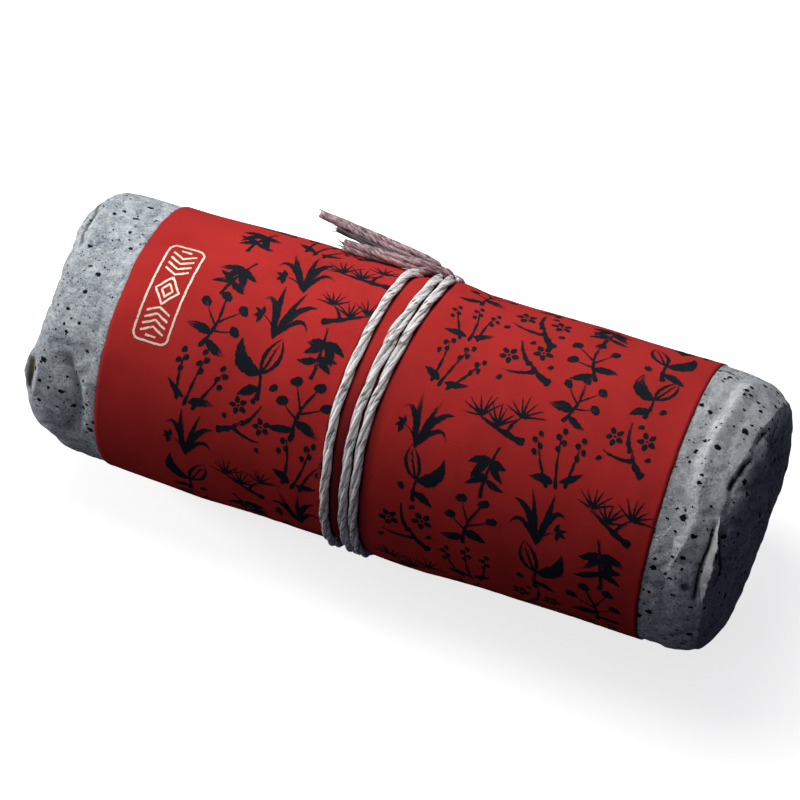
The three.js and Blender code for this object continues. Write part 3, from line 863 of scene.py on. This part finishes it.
def band_point(x, angle, lift=0.0):
    """Points on the band's outer face, or as far over it as the lift says."""
    return not_below(at_angle(x, angle, band_radius(x, angle) + lift), BAND_LIFT + lift)


def band_rows():
    """x of the band's rows, finer where the string presses it in."""
    low, high = STRING_ZONE
    fine = np.arange(low, high, STRING_ZONE_STEP)
    before = np.linspace(-BAND_EDGE, low, int((BAND_EDGE + low) / BAND_STEP), endpoint=False)
    after = np.linspace(high, BAND_EDGE, int((BAND_EDGE - high) / BAND_STEP))
    return np.concatenate([before, fine, after])[:, None]


def painted_string_shade(x, angles):
    """Painted shade on the band beside the turns of string, and between them and right of the last one down
    the front.
    """
    left, middle, right = (x - lane_x(lane, angles) for lane in LANES.values())
    nearest = np.min(np.abs([left, middle, right]), axis=0)
    beside = SHADE_BESIDE_STRING["share"] * (1 - smoothstep(nearest, *SHADE_BESIDE_STRING["reach"]))
    front = -turn_between(angles, 0)
    down = smoothstep(front, *SHADE_BETWEEN_TURNS["down"]) * (front < SHADE_BETWEEN_TURNS["last"])
    strip = SHADE_BETWEEN_TURNS["share"] * down * (left > 0) * (middle < 0)
    past = SHADOW_RIGHT_OF_TURNS["share"] * down * (right > 0) * (1 - smoothstep(right, *SHADOW_RIGHT_OF_TURNS["reach"]))
    return np.max([beside, strip, past], axis=0)


def make_band(material):
    """Red paper sleeve with an outer and an inner face, and the step of its glued seam."""
    angles = np.linspace(0, 360, BAND_COLUMNS, endpoint=False)
    angles = angles[np.abs(turn_between(angles, SEAM_ANGLE)) >= SEAM_CLEAR]
    angles = np.sort([*angles, *(SEAM_ANGLE + edge for edge in SEAM_EDGES)])[None, :]
    x = band_rows()
    near_edge = smoothstep(np.abs(x), BAND_EDGE - EDGE_WANDER["width"], BAND_EDGE) * np.sign(x)
    wander = waves(at_angle(x, angles, ROLL_RADIUS), EDGE_WANDER["wavelength"], EDGE_WANDER["seed"])
    rows = x + near_edge * EDGE_WANDER["depth"] * wander
    back = np.unique(np.linspace(0, len(rows) - 1, INNER_ROWS).astype(int))[::-1]
    inner = not_below(band_point(rows[back], angles, -BAND_SHEET), BAND_LIFT + BAND_SHEET)
    rings = np.concatenate([band_point(rows, angles), inner])
    quads = grid_faces(len(rings), angles.size, len(rings))
    # Painted shade along the cut edges, and all over the inner face.
    rim = smoothstep(np.abs(rows), *(BAND_EDGE - inside for inside in EDGE_SHADE_REACH))
    plain = np.ones(inner.shape[:2])
    values = {
        "edge": np.concatenate([rim, plain]),
        # Painted shade and shadow beside and between the turns of string.
        "pressed": np.concatenate([painted_string_shade(rows, angles), plain * 0]),
    }
    piece = mesh_piece("red_band", [(rings.reshape(-1, 3), quads, None)], material, values=values)
    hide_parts("paper_band")
    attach(piece, "root")


# ---- brush marks and gold ornament
INK_LIFT, GOLD_LIFT = 0.045, 0.06
INK_SINK = -0.12
STROKE_STEP = 0.5
NARROWEST = 0.12
# Section of a stroke: share of its half width, and whether it is on top or sunk into the band.
STROKE_SECTION = [(1, False), (1, True), (0, True), (-1, True), (-1, False)]


def ribbon(route, widths, lift, seed):
    """Closed thin strip on the band along (x, distance down the front) places in millimetres."""
    way = np.gradient(route, axis=0)
    way /= np.maximum(np.linalg.norm(way, axis=1), 1e-9)[:, None]
    across = np.stack([-way[:, 1], way[:, 0]], -1)
    along = along_route(route)
    draw = np.random.default_rng(seed)
    edges = []
    for _ in range(2):
        rough = sum(np.sin(along * rate + draw.uniform(0, 6.3)) for rate in (1.3, 3.1, 6.4))
        edges.append(np.maximum(widths / 2 * (1 + 0.055 * rough) + 0.025 * rough, 0.05))
    corners = []
    for share, on_top in STROKE_SECTION:
        reach = share * (edges[0] if share > 0 else edges[1])
        x, down = (route + across * reach[:, None]).T
        corners.append(band_point(x, -np.degrees(down / ROLL_RADIUS), lift if on_top else INK_SINK))
    return tube(np.stack(corners, 1), along + draw.uniform(0, 90))


def curve(start, middle, end, steps):
    """Curved line from start to end that bends towards middle."""
    t = np.linspace(0, 1, steps)[:, None]
    return (1 - t) ** 2 * start + 2 * t * (1 - t) * middle + t**2 * end


def heading(angle):
    """Direction at an angle in degrees: 0 is right along the roll, 90 is down its front."""
    return np.array([math.cos(math.radians(angle)), math.sin(math.radians(angle))])


def cane_width(t):
    """Share of a cane joint's width, swollen at its two ends."""
    from_middle = np.abs(2 * t - 1)
    return 0.62 + 0.38 * from_middle**3 * np.sqrt(np.clip(1 - from_middle**9, 0.1, 1))


# Width of a stroke along its length, as a share of its widest.
STROKES = {
    "leaf": lambda t: np.sin(np.pi * np.clip(t, 0.02, 0.985) ** 0.75) ** 0.8,
    "cane": cane_width,
    "branch": lambda t: (1.02 - 0.72 * t) * smoothstep(t, -0.10, 0.06) * (1 + 0.16 * np.sin(t * 19)),
    "needle": lambda t: np.clip(1.05 - t, 0.06, 1) ** 0.6 * smoothstep(t, -0.15, 0.1),
    "dab": lambda t: np.sqrt(np.clip(1 - (2 * t - 1) ** 2, 0.02, 1)) * (1.1 - 0.35 * t),
}


class Brush:
    """Draws strokes on the band in a mark's own axes: right along the roll, down its front."""

    def __init__(self, place, turn, scale, mirrored, draw):
        self.place = np.array(place)
        self.scale = scale
        self.axes = scale * np.array([heading(turn), heading(turn + 90)])
        if mirrored:
            self.axes[0] *= -1
        self.draw = draw
        self.parts = []
        self.dryness = []

    def stroke(self, start, middle, end, width, form):
        """Curved stroke between two places, with the width and form of one brush move."""
        places = [np.array(p) @ self.axes + self.place for p in (start, middle, end)]
        reach = along_route(places)[-1]
        route = curve(*places, max(8, int(reach / STROKE_STEP)))
        t = np.linspace(0, 1, len(route))
        widths = np.maximum(width * self.scale * STROKES[form](t), NARROWEST)
        self.parts.append(ribbon(route, widths, INK_LIFT, int(self.draw.integers(1 << 30))))
        dryness = smoothstep(t, 0.35, 1.0) * self.draw.uniform(-0.4, 1.0)
        self.dryness.append(np.repeat(dryness, len(STROKE_SECTION)))

    def towards(self, start, angle, reach, width, form="leaf", bend=0.12):
        """Stroke from a place in a direction."""
        way = heading(angle + self.draw.uniform(-7, 7))
        reach = reach * self.draw.uniform(0.88, 1.12)
        middle = start + way * reach * 0.5 + np.array([-way[1], way[0]]) * reach * bend
        self.stroke(start, middle, start + way * reach, width * self.draw.uniform(0.85, 1.15), form)

    def dab(self, place, size, angle):
        """Short round stroke about a place."""
        way = heading(angle) * size * 0.55
        self.stroke(place - way, place, place + way, size * 0.85, "dab")


def cane_spray(brush):
    """Jointed cane with hanging sprays of long pointed leaves."""
    brush.stroke((-0.8, 7.6), (-0.9, 5), (-0.3, 2.6), 1.5, "cane")
    brush.stroke((-0.2, 2.2), (0.3, -0.5), (0.9, -2.8), 1.3, "cane")
    brush.stroke((1, -3.2), (1.4, -5), (2.2, -7), 1.0, "cane")
    for angle, reach in ((22, 5.6), (58, 7.2), (122, 7.6), (160, 6.4)):
        brush.towards((0.4, -3.2), angle, reach, 2.3)
    for angle, reach in ((28, 6.2), (152, 5.4), (196, 5)):
        brush.towards((0, 2.2), angle, reach, 2.0)


def plum_branch(brush):
    """Crooked branch with open blossoms, each a ring of petals, and buds."""
    brush.stroke((-6.6, 6.4), (-2.8, 4.6), (-0.8, 0.6), 2.3, "branch")
    brush.stroke((-0.9, 1.2), (1.6, -0.6), (2.4, -6.8), 1.6, "branch")
    brush.stroke((-2.4, 3.2), (2.2, 4.8), (6.4, 3.4), 1.3, "branch")
    for centre in ((-3.6, -3.4), (5, -1.2)):
        for angle in range(18, 360, 72):
            brush.dab(centre + heading(angle) * 1.75, 1.95, angle)
        brush.dab(centre, 0.8, 0)
    for bud in ((-0.4, -6.6), (6.6, 6), (-6, 1.4)):
        brush.dab(bud, 1.7, 40)


def orchid(brush):
    """Long arching blades from one root, with a small flower."""
    for tip, bend, width in (((-7.2, -1.5), (-4, -6), 1.5), ((-3.6, -7.4), (-2.6, 0), 1.9),
                             ((2.4, -7.8), (0.6, -1), 1.4), ((7, -4.6), (1.6, -4), 2.0),
                             ((7.4, 2.6), (4.4, -3), 1.3)):
        brush.stroke((0, 7.4), bend, tip, width, "leaf")
    brush.stroke((0.4, 7), (-2, 3), (-5.4, 2.4), 0.6, "needle")
    for angle in (150, 205, 255, 100):
        brush.towards((-5.2, 2.6), angle, 2.6, 1.3)


def pine(brush):
    """Rough branch with fans of needles."""
    brush.stroke((-6.6, 5.4), (-1, 4.6), (6.6, 1.4), 1.9, "branch")
    brush.stroke((-1.6, 4.4), (-2, 1.6), (-4.4, -0.8), 1.1, "branch")
    for root, first in (((-4.4, -0.6), 196), ((0.8, 3), 208), ((5.4, 1.4), 222)):
        for k in range(7):
            brush.towards(root, first + 23 * k, 5.4, 0.72, "needle", 0.05)


def berries(brush):
    """Forked stalk with round berries and two leaves."""
    brush.stroke((-0.6, 7.6), (1.6, 1), (-1.2, -6.2), 1.2, "branch")
    for x, y in ((-5.2, -3.4), (4.6, -5.6), (5.6, 0.2), (-1.4, -7)):
        brush.stroke((0.4, y * 0.4 + 2.4), (x * 0.4, y * 0.7 + 2), (x, y), 0.65, "needle")
        brush.dab((x, y), 3.0, 30)
    brush.towards((0.4, 3.4), 172, 6.6, 2.8)
    brush.towards((0.2, 5.2), 20, 6.4, 2.4)


def broad_leaves(brush):
    """A filled leaf and a leaf in outline, with its veins."""
    brush.stroke((-1.2, 7.6), (0.4, 4), (0, 0), 1.4, "branch")
    brush.stroke((0, 1), (-6.4, -0.6), (-4.6, -7.8), 3.9, "leaf")
    for hand in (-1, 1):
        brush.stroke((0.2, 1.2), (3.2 + 3.4 * hand, -2.6 + 1.6 * hand), (5.2, -7.4), 1.05, "leaf")
    brush.stroke((0.4, 1), (2.4, -2), (4.6, -6.2), 0.8, "needle")
    for k in range(3):
        brush.towards((1.2 + k, -0.8 - 1.7 * k), 318, 2.1, 0.5, "needle")
    brush.towards((-0.4, 4.8), 160, 6, 2.2)
    brush.dab((3.4, 4.6), 2.2, 150)


def reeds(brush):
    """Bending stems with heads of seed dabs."""
    for foot, tip in (((-2.4, 7.4), (-5.4, -5.6)), ((0, 7.6), (0.8, -6.6)), ((2.4, 7.2), (6, -4.4))):
        brush.stroke(foot, ((foot[0] + tip[0]) / 2 + brush.draw.uniform(-2, 2), 0), tip, 0.95, "branch")
        for k in range(4):
            brush.dab((tip[0] + 0.75 * (-1) ** k, tip[1] - 0.8 + 1.55 * k), 1.75, 70)
    brush.towards((-0.8, 6), 200, 6.2, 2.2)
    brush.towards((1, 5.6), 338, 6, 1.9)


MARK_COLUMNS = [-54.5, -36.5, -20.5, 14.5, 33.5, 52.5, 71.5]
MARKS_ROUND = 15
MARK_FORMS = [cane_spray, plum_branch, orchid, berries, pine, broad_leaves, reeds]
# How far a mark may be off its place along and round the roll, its turn in radians and its scale.
MARK_OFF, MARK_TURN, MARK_SCALE = (1.2, 1.0), 0.3, (1.0, 1.18)
# Marks this near to the underside, in degrees, are left out.
MARKS_CLEAR_OF_FLOOR = 24


def make_ink_marks(material):
    """Brush-drawn plants in columns round the band, half a step apart from column to column."""
    draw = np.random.default_rng(41)
    step = 2 * math.pi * ROLL_RADIUS / MARKS_ROUND
    off_x, off_down = MARK_OFF
    parts, dryness = [], []
    for column, x in enumerate(MARK_COLUMNS):
        for row in range(MARKS_ROUND):
            down = step * (row + 0.5 * (column % 2)) + draw.uniform(-off_down, off_down)
            turn = math.degrees(draw.uniform(-MARK_TURN, MARK_TURN))
            scale = draw.uniform(*MARK_SCALE)
            place = (x + draw.uniform(-off_x, off_x), down)
            brush = Brush(place, turn, scale, draw.random() < 0.5, draw)
            MARK_FORMS[(row * 3 + column * 2) % len(MARK_FORMS)](brush)
            if abs(turn_between(-math.degrees(down / ROLL_RADIUS), 180)) > MARKS_CLEAR_OF_FLOOR:
                parts += brush.parts
                dryness += brush.dryness
    values = {"dry": np.concatenate(dryness)}
    piece = mesh_piece("ink_marks", parts, material, smooth=False, values=values)
    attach(piece, "root")


ORNAMENT = {"x": -71.0, "down": 12.0, "half_width": 5.4, "half_length": 16.0, "line": 0.62, "corner": 2.2}
CHEVRON = {"half_width": 3.6, "rise": 0.9, "first": 6.4, "step": 2.0, "rows": 4}
ORNAMENT_BAR = {"half_width": 1.6, "y": 14.3}
LOZENGES = (3.6, 1.7)


def make_gold_ornament(material):
    """Upright gold ornament: a round-cornered frame round a lozenge between rows of chevrons."""
    parts = []

    def draw_line(*points):
        """Gold line from point to point, about the ornament's middle."""
        route = [np.array(points[0], float)]
        for start, end in zip(np.array(points[:-1]), np.array(points[1:])):
            steps = max(2, int(np.linalg.norm(end - start) / 0.8))
            route.extend(start + (end - start) * k / steps for k in range(1, steps + 1))
        route = np.array(route) + [ORNAMENT["x"], ORNAMENT["down"]]
        parts.append(ribbon(route, np.full(len(route), ORNAMENT["line"]), GOLD_LIFT, len(parts)))

    corner = ORNAMENT["corner"]
    in_x, in_y = ORNAMENT["half_width"] - corner, ORNAMENT["half_length"] - corner
    loop = []
    for start, x, y in ((0, in_x, in_y), (90, -in_x, in_y), (180, -in_x, -in_y), (270, in_x, -in_y)):
        loop += [(x, y) + corner * heading(start + angle) for angle in np.linspace(0, 90, 7)]
    draw_line(*loop, *loop[:2])
    for size in LOZENGES:
        top = (0, -size * 1.25)
        draw_line(top, (size, 0), (0, size * 1.25), (-size, 0), top, (0.2, -size))
    wide, rise = CHEVRON["half_width"], CHEVRON["rise"]
    for hand in (-1, 1):
        for k in range(CHEVRON["rows"]):
            y = CHEVRON["first"] + CHEVRON["step"] * k
            draw_line((-wide, hand * (y + rise)), (0, hand * (y - rise)), (wide, hand * (y + rise)))
        bar, y = ORNAMENT_BAR["half_width"], hand * ORNAMENT_BAR["y"]
        draw_line((-bar, y), (bar, y))
    piece = mesh_piece("gold_ornament", parts, material, smooth=False)
    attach(piece, "root")


# ---- twine
PLIES = 3
PLY_SIDES = 20
PLY_RADIUS = 0.80
PLY_SPREAD = 0.62
PLY_PITCH = 38.0
# Furrows round a ply, their depth as a share of its radius, and how far they run in one turn.
LOBES, LOBE_DEPTH, LOBE_PITCH = 4, 0.06, 15
# Radius at a ply's two ends, as a share of its own, and how much of a radius it takes to get there.
BLUNT_ENDS = (0.75, 0.75)
END_LENGTH = 0.8
TURN_STEP = 0.62


def ply_tube(route, radius, seed, ends):
    """One ply along its own line: a round section with the furrows of its twisted fibres. It gives the tube
    and how much painted shade each point gets, deepest in a furrow."""
    along = along_route(route)[:, None]
    a = np.linspace(0, 2 * np.pi, PLY_SIDES, endpoint=False)[None, :]
    draw = np.random.default_rng(seed)
    turned = a - 2 * np.pi * along / LOBE_PITCH + draw.uniform(0, 6)
    turned = turned + 0.35 * np.sin(along * 0.37 + draw.uniform(0, 6))
    lobe = 0.5 - 0.5 * np.cos(LOBES * turned)
    thick_and_thin = np.sin(along * 0.9 + draw.uniform(0, 6))
    out_of_round = np.sin(a * 2 + along * 0.31 + draw.uniform(0, 6))
    size = radius * (1 - LOBE_DEPTH * lobe) * (1 + 0.05 * thick_and_thin * out_of_round)
    for end, from_end in zip(ends, (along, along[-1] - along)):
        t = np.clip(from_end / (radius * END_LENGTH), 0, 1)
        size = size * (end + (1 - end) * np.sqrt(t * (2 - t)))
    # Painted shade, deepest in the furrows.
    crevice = lobe.reshape(-1) ** 6 * 0.6
    return tube(round_line(route, a, size), along[:, 0], -1 / LOBE_PITCH), crevice


def plied_cord(route, radius, spread, seed, plies=PLIES, pitch=PLY_PITCH, turn=0.0, ends=BLUNT_ENDS):
    """Cord of plies twisted round its line. The spread is the plies' distance from that line."""
    along = along_route(route)[:, None]
    made = []
    for k in range(plies):
        angle = turn + 2 * np.pi * (along / pitch + k / plies)
        line = round_line(route, angle, np.broadcast_to(spread, along.shape))[:, 0]
        made.append(ply_tube(line, radius, seed + k, ends))
    return made


def twine_piece(name, made, material, node):
    """One object from tubes and their painted furrow shade, in place of a node if it has one."""
    parts, furrow_shades = zip(*made)
    piece = mesh_piece(name, parts, material, values={"crevice": np.concatenate(furrow_shades)})
    if node:
        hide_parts(node)
    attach(piece, "root")


# Where each turn starts and ends round the roll, and the angle that its plies start at.
TURNS = {"left": (49, 404.5, 0.4), "middle": (48, 404.5, 2.1), "right": (49.5, 405, 4.0)}
# Where on the front the middle turn's plies part, and by how much.
PARTED = {"lane": "middle", "angle": -8, "reach": 17, "spread": 0.55}
FLOOR_CLEARANCE = 0.04


def make_turns(material):
    """The three turns of twine round the band."""
    for k, (lane, (start, end, turn)) in enumerate(TURNS.items()):
        angle = np.linspace(start, end, 720)[::6]
        x = lane_x(LANES[lane], angle)
        route = smooth_route(at_angle(x, angle, string_radius(x, angle)), TURN_STEP)
        spread = np.full((len(route), 1), PLY_SPREAD)
        if lane == PARTED["lane"]:
            here = np.degrees(np.arctan2(route[:, 1:2], route[:, 2:] - AXIS_HEIGHT))
            spread = spread + PARTED["spread"] * bump(here - PARTED["angle"], PARTED["reach"])
        made = plied_cord(route, PLY_RADIUS, spread, 100 * (k + 1), turn=turn)
        for (points, _, _), _ in made:
            points[:, 2] = np.maximum(points[:, 2], FLOOR_CLEARANCE)
        twine_piece(f"twine_turn_{lane}", made, material, f"string_turn_{lane}")


# ---- knot and tails: places are x, distance behind the knot's middle, height over the band
KNOT_ANGLE = 47.5
KNOT_FLOOR = 41.2
KNOT_CORDS = {
    "loop": [
        (-0.4, 3.6, -0.8), (-0.3, 2.1, 0.4), (-0.8, 0.6, 1.6), (-1.8, -0.4, 2.5), (-3.0, -0.1, 2.8),
        (-3.9, 1.5, 2.4), (-4.4, 3.6, 1.5), (-4.0, 5.4, 0.3),
    ],
    "front_bight": [
        (-9.0, -6.4, 0.9), (-8.2, -4.4, 1.2), (-6.9, -2.6, 1.9), (-5.0, -1.6, 2.3), (-3.2, -1.2, 2.3),
        (-1.4, -0.6, 1.8), (-0.4, 0.6, 1.1), (-0.6, 2.8, 0.4), (-1.2, 4.6, 0.0),
    ],
    "under": [(-8.4, 0.4, 0.2), (-6, 0.2, 0.9), (-3.4, 0.2, 1.3), (-0.9, 0.6, 0.8)],
    "back_bight": [
        (-7.2, 6.2, 0.4), (-5.6, 4.6, 1.3), (-3.9, 3.6, 2.0), (-2.4, 3.2, 2.0), (-1.0, 3.4, 1.3),
        (-0.5, 5.0, 0.3),
    ],
}
CORD_IN_KNOT = {"radius": 0.70, "spread": 0.60, "pitch": 16}
KNOT_STEP, TAIL_STEP = 0.45, 0.5


def by_knot(stops):
    """3-D places from x, distance behind the knot's middle and height over the band."""
    x, back, height = np.array(stops, float).T
    return at_angle(x, KNOT_ANGLE + np.degrees(back / KNOT_FLOOR), KNOT_FLOOR + height)


def make_knot(material):
    """The knot, of cords that cross over and under one another."""
    made = []
    for k, stops in enumerate(KNOT_CORDS.values()):
        route = smooth_route(by_knot(stops), KNOT_STEP)
        made += plied_cord(route, **CORD_IN_KNOT, seed=500 + 10 * k, turn=k * 1.3)
    twine_piece("twine_knot", made, material, "string_knot")


# Lines of the cut ends, as x, angle and distance from the axis.
UPPER_TAIL = [
    (-5.2, 50.2, 43.7), (-6.4, 50.6, 44.4), (-7.8, 50.9, 44.8), (-10, 51, 45.2), (-16.5, 50, 46),
    (-25.5, 49, 47.2), (-35, 48, 48.5), (-43.6, 47, 49.7),
]
LOWER_TAIL = [
    (-5.0, 46.8, 43.6), (-6.3, 46.2, 44.1), (-7.9, 45.5, 44.2), (-10.5, 44.8, 43.7), (-14, 44.1, 43.3),
    (-20, 43.3, 43.1), (-28, 42.7, 43.1), (-33.4, 42.6, 42.8),
]
LOOSE_PLY = [
    (-14, 48.4, 44.2), (-19, 47.8, 44.5), (-25, 47.4, 45.0), (-31, 46.8, 45.7), (-37.6, 46.4, 46.9),
]
# Stray fibres at the cut ends: where they start and end, as x, angle and distance from the axis.
WHISKERS = [
    ((-36.4, 46.4, 46.8), (-39.6, 46.2, 46.6)), ((-36.2, 46.3, 46.6), (-39.2, 45.4, 45.2)),
    ((-35.6, 46.6, 46.8), (-38.8, 47.4, 47.5)), ((-33, 43.6, 42.8), (-37.6, 44.8, 44.6)),
    ((-32.6, 43.2, 42.2), (-36.6, 42.4, 42.6)), ((-32.6, 44.2, 43.4), (-36.0, 45.2, 43.4)),
    ((-43.2, 47.6, 50.4), (-45.4, 47.9, 50.8)), ((-12, 43.8, 44.4), (-16, 42.2, 44.6)),
]
WHISKER_RADIUS = 0.27
WHISKER_SIDES = 5
WHISKER_BEND = (0.25, -0.2, 0.5)
# How much the plies of the lower end spread where it frays, and from where, as a share of it.
FRAYED = {"spread": 0.3, "from": 0.7}


def tail_route(stops):
    """Smooth line through places given as x, angle and distance from the axis."""
    return smooth_route(at_angle(*np.array(stops, float).T), TAIL_STEP)


def whisker(start, end):
    """Thin bent fibre that narrows to its tip."""
    route = tail_route([start, end])
    t = np.linspace(0, 1, len(route))[:, None]
    route = route + WHISKER_BEND * np.sin(np.pi * t)
    a = np.linspace(0, 2 * np.pi, WHISKER_SIDES, endpoint=False)[None, :]
    rings = round_line(route, a, WHISKER_RADIUS * (1.02 - t))
    # The whole fibre gets a little painted shade.
    return tube(rings, along_route(route)), np.full(rings[..., 0].size, 0.2)


def make_tails(light, dark):
    """The two cut ends, and a ply that has come loose under the upper one, painted near black as shade."""
    route = tail_route(UPPER_TAIL)
    made = plied_cord(route, 1.12, 0.74, 700, plies=2, pitch=120, turn=1.9, ends=(0.75, 0.9))
    twine_piece("twine_tail_upper", made, light, "string_tail_upper")
    route = tail_route(LOWER_TAIL)
    along = along_route(route)[:, None]
    spread = 1.12 + FRAYED["spread"] * smoothstep(along / along[-1], FRAYED["from"], 1)
    made = plied_cord(route, 0.98, spread, 800, plies=4, pitch=60, turn=0.7, ends=(0.75, 0.35))
    twine_piece("twine_tail_lower", made, light, "string_tail_lower")
    route = tail_route(LOOSE_PLY)
    made = plied_cord(route, 0.52, 0.42, 730, plies=3, pitch=34, turn=0.4, ends=(0.3, 0.15))
    made += [whisker(start, end) for start, end in WHISKERS]
    twine_piece("twine_loose_ply", made, dark, None)


# ---- stage


def make_camera():
    """The photo's camera, as it was fitted to the roll's outlines."""
    data = bpy.data.cameras.new("camera")
    data.lens, data.sensor_width, data.sensor_fit = CAMERA_LENS, CAMERA_SENSOR, "HORIZONTAL"
    camera = bpy.data.objects.new("camera", data)
    bpy.context.scene.collection.objects.link(camera)
    right, forward = Vector(CAMERA_RIGHT).normalized(), Vector(CAMERA_FORWARD).normalized()
    up = right.cross(forward)
    axes = Matrix((right, up, -forward)).transposed().to_4x4()
    camera.matrix_world = Matrix.Translation(CAMERA_PLACE) @ axes
    bpy.context.scene.camera = camera


def make_floor():
    """Pale ground that glows a little and sends no light on to the roll."""
    half = FLOOR_HALF
    corners = [(-half, -half, 0), (half, -half, 0), (half, half, 0), (-half, half, 0)]
    mesh = bpy.data.meshes.new("floor")
    mesh.from_pydata(corners, [], [(0, 1, 2, 3)])
    mesh.materials.append(Net("floor").finish(
        FLOOR_COLOUR, 0.9, Emission_Color=(1, 1, 1), Emission_Strength=FLOOR_GLOW, Specular_IOR_Level=0.1))
    floor = bpy.data.objects.new("floor", mesh)
    floor.visible_diffuse = False
    floor.visible_glossy = False
    bpy.context.scene.collection.objects.link(floor)


def make_lights():
    """Round area lights, all aimed at the middle of the roll's axis."""
    for name, light in LIGHTS.items():
        data = bpy.data.lights.new(name, "AREA")
        data.shape, data.size = "DISK", light["size"]
        data.energy, data.color = light["watts"], light["colour"]
        lamp = bpy.data.objects.new(name, data)
        lamp.location = light["place"]
        aim = Vector((0, 0, AXIS_HEIGHT * MM)) - lamp.location
        lamp.rotation_mode = "QUATERNION"
        lamp.rotation_quaternion = aim.to_track_quat("-Z", "Y")
        bpy.context.scene.collection.objects.link(lamp)


def make_world():
    """Dim surroundings, brighter from above than from below."""
    world = bpy.data.worlds.new("world")
    world.use_nodes = True
    tree = world.node_tree
    background = tree.nodes["Background"]
    background.inputs["Color"].default_value = (*WORLD_COLOUR, 1)
    direction = tree.nodes.new("ShaderNodeTexCoord").outputs["Generated"]
    parted = tree.nodes.new("ShaderNodeSeparateXYZ")
    tree.links.new(direction, parted.inputs[0])
    strength = tree.nodes.new("ShaderNodeMapRange")
    tree.links.new(parted.outputs["Z"], strength.inputs["Value"])
    for key, value in (("From Min", -1), ("To Min", WORLD_FROM_BELOW), ("To Max", WORLD_FROM_ABOVE)):
        strength.inputs[key].default_value = value
    tree.links.new(strength.outputs[0], background.inputs["Strength"])
    bpy.context.scene.world = world
    bpy.context.scene.view_settings.view_transform = "Standard"


make_camera()
make_floor()
make_lights()
make_world()
paper = handmade_paper()
make_paper_roll(paper)
make_paper_lip(paper)
make_band(red_paper())
make_ink_marks(brush_ink())
make_gold_ornament(gold_foil())
make_turns(twine("twine", (0.96, 0.95, 0.93), (0.78, 0.73, 0.70), (0.88, 0.81, 0.78)))
ends = twine("twine_ends", (0.40, 0.24, 0.265), (0.035, 0.012, 0.02), (0.30, 0.14, 0.17), 0.49, 1.9)
make_knot(ends)
# The loose ply and its stray fibres are painted near black as shade.
make_tails(ends, twine("twine_in_painted_shade", (0.035, 0.022, 0.034), (0.014, 0.009, 0.015), (0.05, 0.03, 0.04)))
